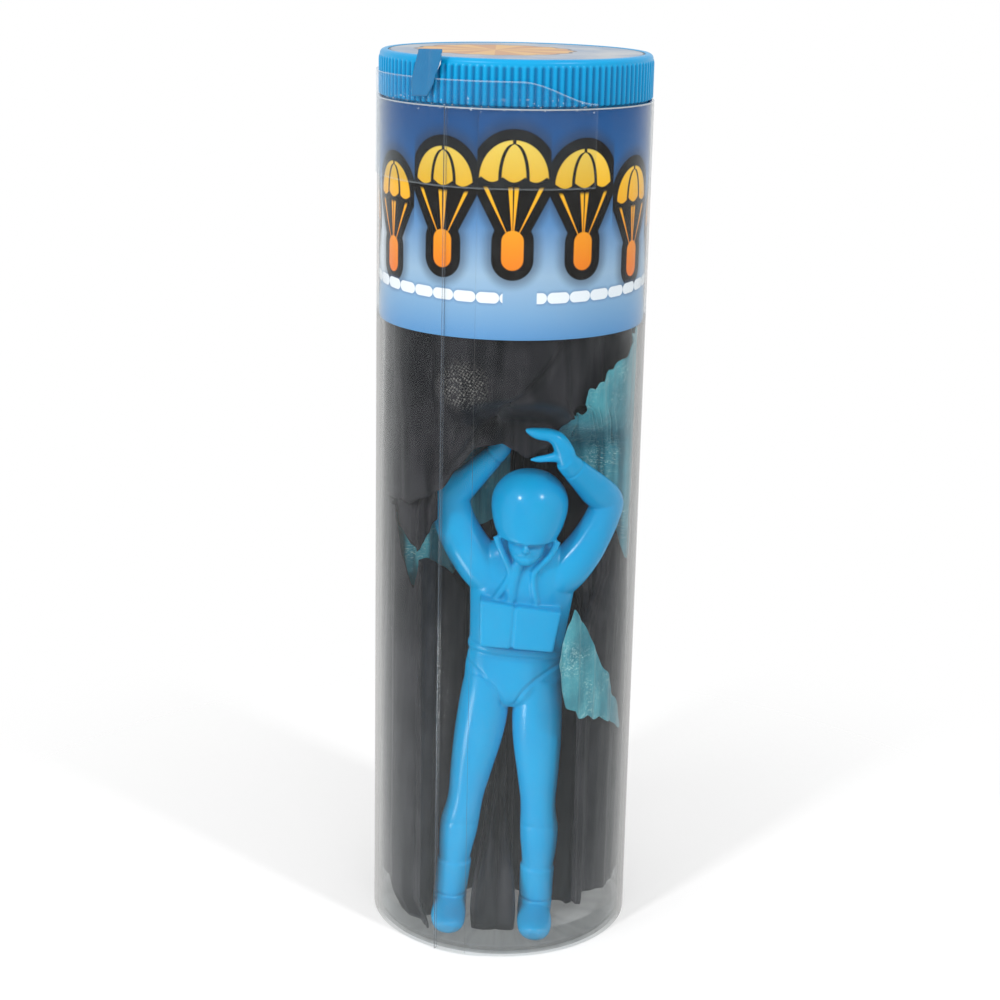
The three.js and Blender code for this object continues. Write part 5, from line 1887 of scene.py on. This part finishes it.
@dataclass
class HarnessStrap:
    """The loop of webbing through the eye, sewn to the canopy."""

    width: float = 1.5
    thickness: float = 0.7
    loop: Rows = (
        (0, 0), (0.7, 0.04), (1, 0.3), (0.94, 0.7), (0.6, 0.96), (0, 1),
        (-0.6, 0.96), (-0.94, 0.7), (-1, 0.3), (-0.7, 0.04),
    )

    def build(self, figure: Skydiver) -> Thing:
        """Makes the strap in the figure's frame.

        Args:
            figure: The figure that carries it.

        Returns:
            The strap.
        """
        rows = [(x * 3.7, figure.eye_back + 2.2 * z, figure.eye_height + 7.6 * z) for x, z in self.loop]
        path = through(rows, np.linspace(0, 1, 96, endpoint=False), closed=True)
        ahead = np.roll(path, -1, 0) - np.roll(path, 1, 0)
        ahead /= np.linalg.norm(ahead, axis=1, keepdims=True)
        flat = np.cross(ahead, np.array([0.0, 1.0, 0.0]))
        flat /= np.linalg.norm(flat, axis=1, keepdims=True)
        back = np.cross(flat, ahead)
        w, t = self.width / 2, self.thickness / 2
        corners = [
            (-t, -w * 0.9), (-t, w * 0.9), (-t * 0.6, w), (t * 0.6, w),
            (t, w * 0.9), (t, -w * 0.9), (t * 0.6, -w), (-t * 0.6, -w),
        ]
        rings = np.stack([path + flat * a + back * b for a, b in corners], axis=1)
        world = figure.world(rings.reshape(-1, 3)).reshape(rings.shape)
        made = faced_out(Shape().rings(world, loop=True).made("webbing_loop"))
        Webbing().dress(made)
        settle(made, "toy", "harness_strap")
        return made


# Folded canopy


@dataclass(frozen=True)
class Fold:
    """A row of soft folds across a gore."""

    count: float
    depth: float
    slant: float = 0.0
    start: float = 0.0


@dataclass(frozen=True)
class Dent:
    """A soft hollow in a gore, or a swell where its depth is below 0."""

    at: tuple[float, float]
    size: tuple[float, float]
    depth: float
    slant: float = 0.0


@dataclass(frozen=True)
class Gore:
    """One hanging gore of the folded canopy, from left to right in the front view.

    Attributes:
        node: The CAD node that it stands for.
        name: Its name.
        cloth: What it is made of.
        lower: Its plan below the turn, as rows of x and y in shares of the canopy's radius.
        low: Its lower edge, as rows of place along the gore and height.
        high: Its upper edge.
        flat: Its width and height laid flat, in metres; not used.
        cut: The area that it was cut from, in square metres; not used.
        seed: Picks its creases.
        upper: Its plan above the turn, where it is another one.
        turn: The heights between which the plan changes.
        folds: Its rows of folds.
        dents: Its hollows and swells.
        lobes: How many scallops an edge has.
        lobe_depth: How far they stand out.
        lobes_low: True if they are on the lower edge.
    """

    node: str
    name: str
    cloth: Cloth
    lower: Rows
    low: Rows
    high: Rows
    flat: tuple[float, float]
    cut: float
    seed: int
    upper: Rows | None = None
    turn: tuple[float, float] = (0.0, 1.0)
    folds: tuple[Fold, ...] = ()
    dents: tuple[Dent, ...] = ()
    lobes: float = 0
    lobe_depth: float = 0.0
    lobes_low: bool = False


@dataclass
class Canopy:
    """The folded canopy: its gathered middle and the gores that hang round the figure."""

    radius: float = 25.15
    foot: float = 0.8
    turn_in: float = 2.4
    core: float = 24.85
    ply: float = 0.14
    pleats: int = 34
    gores: tuple[Gore, ...] = ()

    @property
    def centre(self) -> float:
        """How far back the gathered middle's centre line is."""
        return self.core / 3

    def drawn_in(self, z: Values) -> Values:
        """How far the cloth is drawn in at a height: its foot is rounded on the base."""
        rounded = 1 - smooth(z, self.foot, self.foot + 3 * self.turn_in)
        return 1 - (self.turn_in / self.radius) * rounded

    def hang(self, gore: Gore) -> Thing:
        """Makes one gore.

        Args:
            gore: What it is like.

        Returns:
            The gore as a thin closed sheet.
        """
        u = np.linspace(0, 1, 170)
        lower = through(gore.lower, u, even=False) * self.radius
        upper = lower if gore.upper is None else through(gore.upper, u, even=False) * self.radius
        foot, head = self.edges(gore, u)
        z = foot + (head - foot) * np.linspace(0, 1, 90)
        share = smooth(z, *gore.turn)[:, :, None]
        plan = lower[:, None, :] * (1 - share) + upper[:, None, :] * share
        plan = plan * self.drawn_in(z)[:, :, None]
        along = np.gradient(plan, axis=0)
        side = np.stack([-along[:, :, 1], along[:, :, 0]], -1)
        side /= np.maximum(np.linalg.norm(side, axis=-1, keepdims=True), 1e-6)
        outermost = np.argmax(np.linalg.norm(lower, axis=1))
        if (side[outermost] * -plan[outermost]).sum() < 0:
            side = -side
        plan = plan + side * self.fold_depth(gore, u[:, None], z)[:, :, None]
        points = np.concatenate([plan, z[:, :, None]], axis=-1)
        made = thickened(Shape().rings(points, wrap=False).made(gore.name), self.ply)
        gore.cloth.value.dress(made)
        settle(made, "toy", gore.node)
        return made

    def edges(self, gore: Gore, u: np.ndarray) -> tuple[np.ndarray, np.ndarray]:
        """The heights of a gore's lower and upper edge, one of which may be scalloped.

        Args:
            gore: What the gore is like.
            u: Places along the edge, 0 to 1.

        Returns:
            The lower and the upper edge's heights.
        """
        foot, head = follow(gore.low, u), follow(gore.high, u)
        if gore.lobes:
            lobes = gore.lobe_depth * np.abs(np.sin(math.pi * gore.lobes * u))
            ragged = 0.05 * np.sin(u * 260) + 0.04 * np.sin(u * 437)
            if gore.lobes_low:
                foot = foot - lobes + ragged
            else:
                head = head + lobes + ragged
        return foot[:, None], head[:, None]

    def fold_depth(self, gore: Gore, u: np.ndarray, z: np.ndarray) -> np.ndarray:
        """How far a gore's folds set it in from its plan.

        Args:
            gore: What the gore is like.
            u: Places along the gore, 0 to 1.
            z: Heights.

        Returns:
            The depths.
        """
        depth = np.zeros(z.shape)
        bend = 0.5 * wander(z / 30, gore.seed, 3)
        for fold in gore.folds:
            phase = 2 * math.pi * (fold.count * u + fold.slant * z / 100 + fold.start) + bend
            depth += fold.depth * (0.5 - 0.5 * np.cos(phase))
        creases = wander(z / 7 + u * 6, gore.seed + 4, 5) * wander(u * 9 - z / 18, gore.seed + 9, 4)
        for dent in gore.dents:
            up = z - dent.at[1]
            across = (u - dent.at[0] - dent.slant * up) / dent.size[0]
            depth = depth + dent.depth * np.exp(-(across**2) - (up / dent.size[1]) ** 2)
        return np.maximum(depth + 0.22 * (creases + 0.6), 0)

    def reach(self, a: np.ndarray, z: float) -> np.ndarray:
        """How far the gathered middle reaches from its centre line, at angles from the front.

        Args:
            a: Angles in radians.
            z: The height.

        Returns:
            A reach for each angle.
        """
        above = smooth(z, 105.3, 117.2)
        front = self.core - 4.2
        behind_figure = -2.2 - 16.6 * self.flare(a, z)
        front_y = behind_figure * (1 - above) - front * above
        ahead = -np.cos(a)
        b = self.centre * ahead
        side = np.where(ahead < 0, front, self.core - 0.9)
        bowed = -b + np.sqrt(b * b + side * side - self.centre * self.centre)
        flat = np.where(ahead < -1e-6, (self.centre - front_y) / np.maximum(-ahead, 1e-6), bowed)
        return np.minimum(bowed, flat)

    def flare(self, a: np.ndarray, z: float) -> np.ndarray:
        """The share by which the middle's foot comes forward between the boots."""
        degrees = np.degrees((a + math.pi) % (2 * math.pi) - math.pi)
        return smooth(-z, -30, -3) * np.exp(-(((degrees + 2.5) / 12.5) ** 16))

    def middle(self) -> Thing:
        """The gathered middle: one long strip of cloth in deep pleats, drawn together at its top.

        Returns:
            The gathered cloth.
        """
        a = np.linspace(0, 2 * math.pi, self.pleats * 20, endpoint=False)
        top = [155.5, 156.6, 157.3, 157.6]
        levels = np.concatenate([np.linspace(1.9, 112, 64), np.linspace(113, 154, 30), top])
        rng = np.random.default_rng(11)
        depths = np.r_[rng.uniform(6.5, 9, self.pleats), 8]
        depth = np.interp(a, np.linspace(0, 2 * math.pi, self.pleats + 1), depths)
        rings = []
        for z in levels:
            drift = 0.35 * wander(np.array([z / 24]), 3)[0] + 0.25 * np.sin(a * 3 + z / 21)
            wave = np.abs(np.sin(self.pleats * a / 2 + drift)) ** 0.75
            flare = self.flare(a, z)
            reach = self.reach(a, z) * self.drawn_in(z) - 0.3
            reach = reach - depth * (1 - 0.85 * flare) * (1 - wave) * smooth(z, -4, 10)
            reach = reach * (1 - 0.75 * smooth(z, 148, 158))
            hem = z - 1.3 * flare * smooth(-z, -12, -2) * smooth(reach, 16, 20)
            rings.append(round_axis(reach, a, hem, self.centre))
        made = Shape().rings(np.array(rings), ends=False).made("gathered_canopy_middle")
        made = thickened(made, self.ply)
        Cloth.BLACK.value.dress(made)
        settle(made, "toy", "canopy_core")
        return made

    def build(self) -> list[Thing]:
        """Makes all the cloth.

        Returns:
            The pieces.
        """
        return [self.middle()] + [self.hang(gore) for gore in self.gores]


GORES = (
    Gore(
        node="black_panel_lower_left",
        name="black_gore_lower_left",
        cloth=Cloth.BLACK,
        lower=(
            (-0.955, 0.2), (-0.985, -0.05), (-0.93, -0.33), (-0.81, -0.54),
            (-0.625, -0.725), (-0.575, -0.5), (-0.46, -0.31), (-0.3, -0.215),
        ),
        low=((0, 13), (0.143, 11), (0.24, 7.5), (0.33, 3), (0.42, 1.3), (0.5, 0.8), (1, 0.8)),
        high=(
            (0, 88.2), (0.365, 88.2), (0.39, 84), (0.41, 78.5), (0.44, 74.5), (0.475, 72.4),
            (0.49, 75.2), (0.515, 77.8), (0.6, 78.7), (0.7, 78.3), (0.787, 76.5), (0.867, 74.6), (1, 69),
        ),
        folds=(Fold(5, 1.3, 0.3), Fold(13, 0.35, -0.4, 0.3)),
        flat=(0.042, 0.088),
        cut=0.0035,
        seed=3,
    ),
    Gore(
        node="teal_panel_left",
        name="teal_gore_left",
        cloth=Cloth.TEAL,
        lower=(
            (-0.93, -0.04), (-0.79, -0.37), (-0.62, -0.37),
            (-0.48, -0.24), (-0.3, -0.14), (0.02, -0.14),
        ),
        low=((0, 71.2), (0.62, 71.2), (0.75, 74), (0.85, 82), (1, 85.4)),
        high=((0, 94.9), (0.5, 96.5), (1, 99.7)),
        folds=(Fold(4, 0.9, 0.4), Fold(9, 0.3)),
        flat=(0.026, 0.029),
        cut=0.00074,
        seed=5,
    ),
    Gore(
        node="black_panel_middle_left",
        name="black_gore_middle_left",
        cloth=Cloth.BLACK,
        lower=(
            (-0.92, 0.2), (-0.95, -0.05), (-0.9, -0.3), (-0.79, -0.52),
            (-0.68, -0.65), (-0.6, -0.66), (-0.52, -0.63),
        ),
        upper=(
            (-0.86, 0.2), (-0.89, -0.05), (-0.84, -0.28), (-0.74, -0.46),
            (-0.64, -0.58), (-0.59, -0.63), (-0.54, -0.66),
        ),
        turn=(87.4, 93.5),
        low=(
            (0, 86), (0.4, 86), (0.46, 84.2), (0.515, 82.1), (0.56, 81.2), (0.65, 80.4),
            (0.7, 80.9), (0.76, 82.2), (0.81, 83.1), (0.87, 84), (0.93, 86.2), (1, 87),
        ),
        high=((0, 156.6), (1, 156.6)),
        folds=(Fold(4, 0.9, 0.2), Fold(9, 0.3)),
        flat=(0.026, 0.074),
        cut=0.0019,
        seed=7,
    ),
    Gore(
        node="black_panel_upper",
        name="black_gore_upper",
        cloth=Cloth.BLACK,
        lower=(
            (-0.96, 0.2), (-0.985, -0.03), (-0.94, -0.3), (-0.83, -0.53), (-0.62, -0.75),
            (-0.38, -0.78), (-0.12, -0.6), (0.1, -0.54), (0.34, -0.56), (0.49, -0.82),
            (0.585, -0.69), (0.73, -0.52), (0.87, -0.32), (0.945, -0.1), (0.955, 0.1),
        ),
        upper=(
            (-0.96, 0.2), (-0.985, -0.03), (-0.94, -0.3), (-0.84, -0.51), (-0.66, -0.73),
            (-0.42, -0.89), (-0.15, -0.972), (0.1, -0.98), (0.3, -0.938), (0.48, -0.86),
            (0.585, -0.7), (0.73, -0.52), (0.87, -0.32), (0.945, -0.1), (0.955, 0.1),
        ),
        turn=(105.2, 113.1),
        low=(
            (0, 88), (0.206, 89.3), (0.241, 89.8), (0.276, 91.7), (0.323, 93.7), (0.363, 97.8),
            (0.404, 101.4), (0.454, 101.6), (0.486, 100), (0.514, 98.4), (0.551, 100.5),
            (0.596, 106.3), (0.619, 108.1), (0.669, 109), (0.687, 110.2), (1, 112),
        ),
        high=((0, 156.6), (1, 156.6)),
        folds=(Fold(6, 1.2, 0.5), Fold(15, 0.3, -0.5)),
        dents=(
            Dent((0.365, 114.5), (0.05, 5.5), -1.6), Dent((0.365, 106), (0.08, 2.6), 1.0),
            Dent((0.48, 110), (0.014, 12), 1.8, 0.0108), Dent((0.295, 108), (0.011, 30), 1.4),
        ),
        flat=(0.082, 0.068),
        cut=0.0049,
        seed=9,
    ),
    Gore(
        node="teal_panel_upper_right",
        name="teal_gore_upper_right",
        cloth=Cloth.TEAL,
        lower=(
            (0.38, -0.24), (0.55, -0.22), (0.68, -0.2), (0.74, -0.21),
            (0.84, -0.24), (0.95, -0.24), (0.985, -0.03), (0.96, 0.15),
        ),
        upper=(
            (0.42, -0.8), (0.515, -0.775), (0.6, -0.765), (0.695, -0.69),
            (0.825, -0.545), (0.95, -0.27), (0.985, -0.02), (0.96, 0.15),
        ),
        turn=(98.9, 110.7),
        low=((0, 100.5), (0.115, 96.2), (0.25, 92.5), (0.4, 88.8), (0.54, 84.4), (0.69, 77), (1, 75)),
        high=(
            (0, 108), (0.2, 108.6), (0.235, 110.3), (0.262, 112.2), (0.3, 112.9), (0.376, 113.6),
            (0.459, 114.7), (0.516, 116.1), (0.581, 117.1), (0.662, 118.6), (0.75, 120.8), (1, 122),
        ),
        folds=(Fold(4, 0.8, 0.3), Fold(11, 0.25)),
        lobes=11,
        lobe_depth=0.6,
        flat=(0.036, 0.042),
        cut=0.00115,
        seed=13,
    ),
    Gore(
        node="black_panel_right",
        name="black_gore_right",
        cloth=Cloth.BLACK,
        lower=(
            (0.36, -0.2), (0.58, -0.34), (0.62, -0.55), (0.58, -0.7), (0.74, -0.53),
            (0.89, -0.32), (0.965, -0.14), (0.988, 0.04), (0.965, 0.2),
        ),
        upper=(
            (0.36, -0.18), (0.52, -0.2), (0.64, -0.21), (0.74, -0.2), (0.83, -0.19),
            (0.92, -0.15), (0.97, -0.05), (0.98, 0.07), (0.96, 0.2),
        ),
        turn=(63.3, 72.8),
        low=(
            (0, 1.9), (0.12, 2.2), (0.2, 5), (0.42, 8.6), (0.52, 7.8), (0.7, 6.4), (0.8, 9.5), (1, 12),
        ),
        high=((0, 79.1), (0.36, 78), (0.45, 79.6), (0.5, 82), (0.55, 84.4), (0.65, 86.2), (1, 87.5)),
        folds=(Fold(5, 0.9, 0.2), Fold(15, 0.35, -0.5, 0.2)),
        flat=(0.043, 0.077),
        cut=0.0031,
        seed=17,
    ),
    Gore(
        node="teal_panel_lower_right",
        name="teal_gore_lower_right",
        cloth=Cloth.TEAL,
        lower=((0.44, -0.88), (0.6, -0.785), (0.73, -0.665), (0.86, -0.5), (0.95, -0.29)),
        low=(
            (0, 60), (0.033, 58.5), (0.052, 55), (0.1, 51.6), (0.28, 48.8),
            (0.43, 48.2), (0.67, 46.5), (0.86, 44.5), (1, 41.8),
        ),
        high=(
            (0, 60), (0.033, 61.4), (0.05, 64.2), (0.1, 68.1), (0.15, 71), (0.29, 67.8),
            (0.485, 61.6), (0.64, 56.5), (0.86, 49.4), (1, 42.3),
        ),
        folds=(Fold(4, 0.7, 0.5), Fold(9, 0.2)),
        lobes=5,
        lobe_depth=0.9,
        lobes_low=True,
        flat=(0.022, 0.026),
        cut=0.00025,
        seed=19,
    ),
)


# Studio


@dataclass
class Studio:
    """A plain white studio with soft light, and the camera."""

    eye: Point = (0.0, -0.39130, 0.19891)
    forward: Point = (-0.0034004, 0.96114237, -0.27603221)
    upward: Point = (-0.02174569, 0.27589747, 0.96094106)
    focal_pixels: float = 2050.68
    frame_pixels: float = 1000.0
    sensor: float = 36.0
    ambient: float = 0.72

    def camera(self) -> None:
        """Sets the camera at the photograph's angle."""
        data = bpy.data.cameras.new("camera")
        data.sensor_width = self.sensor
        data.lens = self.focal_pixels / self.frame_pixels * self.sensor
        data.clip_start = 0.01
        made = bpy.data.objects.new("camera", data)
        bpy.context.scene.collection.objects.link(made)
        back = -Vector(self.forward)
        up = Vector(self.upward)
        right = up.cross(back)
        turn = Matrix((right, up, back)).transposed().to_4x4()
        made.matrix_world = Matrix.Translation(Vector(self.eye)) @ turn
        bpy.context.scene.camera = made

    def lamp(self, name: str, at: Point, aim: Point, size: Point, power: float, mirrored: bool) -> None:
        """Adds a soft lamp.

        Args:
            name: Its name.
            at: Its place, in metres.
            aim: The point that it faces.
            size: Its width and height.
            power: Its power in watts.
            mirrored: True if glossy surfaces show it.
        """
        data = bpy.data.lights.new(name, "AREA")
        data.shape = "RECTANGLE"
        data.size, data.size_y = size
        data.energy = power
        made = bpy.data.objects.new(name, data)
        made.location = at
        made.rotation_euler = (Vector(aim) - Vector(at)).to_track_quat("-Z", "Y").to_euler()
        made.visible_glossy = mirrored
        made.visible_camera = False
        bpy.context.scene.collection.objects.link(made)

    def world(self) -> None:
        """White where it is seen or mirrored, and a plain soft light for what it falls on."""
        world = bpy.data.worlds.new("studio")
        bpy.context.scene.world = world
        world.use_nodes = True
        paint = Paint(world.node_tree)
        path = paint.node("ShaderNodeLightPath", {}, {})
        rays = ("Is Camera Ray", "Is Glossy Ray", "Is Transmission Ray")
        seen, mirrored, through_clear = [Signal(paint, path.outputs[name]) for name in rays]
        shown = seen.over(mirrored).over(through_clear)
        strength = self.ambient + shown * (1.0 - self.ambient)
        light = paint.node("ShaderNodeBackground", {}, {"Color": (1, 1, 1, 1), "Strength": strength})
        paint.node("ShaderNodeOutputWorld", {}, {0: light.outputs[0]})

    def floor(self) -> None:
        """A wide white floor, a hair below the toy's foot."""
        corners = np.array([(-1, -1, 0), (1, -1, 0), (1, 1, 0), (-1, 1, 0)]) * 3000.0
        made = Shape().solid(corners, [(0, 1, 2, 3)]).made("studio_floor")
        made.location.z = -0.1 * MM
        StudioFloor().dress(made)

    def build(self) -> None:
        """Makes the studio."""
        self.camera()
        self.world()
        self.floor()
        middle, legs = (0, 0, 0.08), (-0.008, -0.015, 0.041)
        self.lamp("lamp_left", (-0.531, -0.704, 0.753), middle, (0.09, 0.09), 3.6, True)
        self.lamp("lamp_right", (0.617, -0.582, 0.792), middle, (0.09, 0.09), 3.6, True)
        self.lamp("lamp_side", (-0.66, -0.55, 0.2), middle, (0.16, 0.5), 1.2, False)
        self.lamp("lamp_front", (0.1, -1.2, 0.9), middle, (0.8, 0.6), 2.5, False)
        self.lamp("lamp_low", (-0.104, -0.086, 0.003), legs, (0.03, 0.05), 0.06, True)
        bpy.context.scene.view_settings.view_transform = "Standard"
        LOG.info("studio is set")


def main() -> None:
    """Builds the studio, the canister, the figure and the canopy."""
    logging.basicConfig(level=logging.INFO, format="%(name)s: %(message)s")
    Studio().build()
    Canister().build()
    figure = Skydiver()
    figure.build()
    HarnessStrap().build(figure)
    Canopy(gores=GORES).build()
    LOG.info("sizes are noted")


if __name__ == "__main__":
    main()
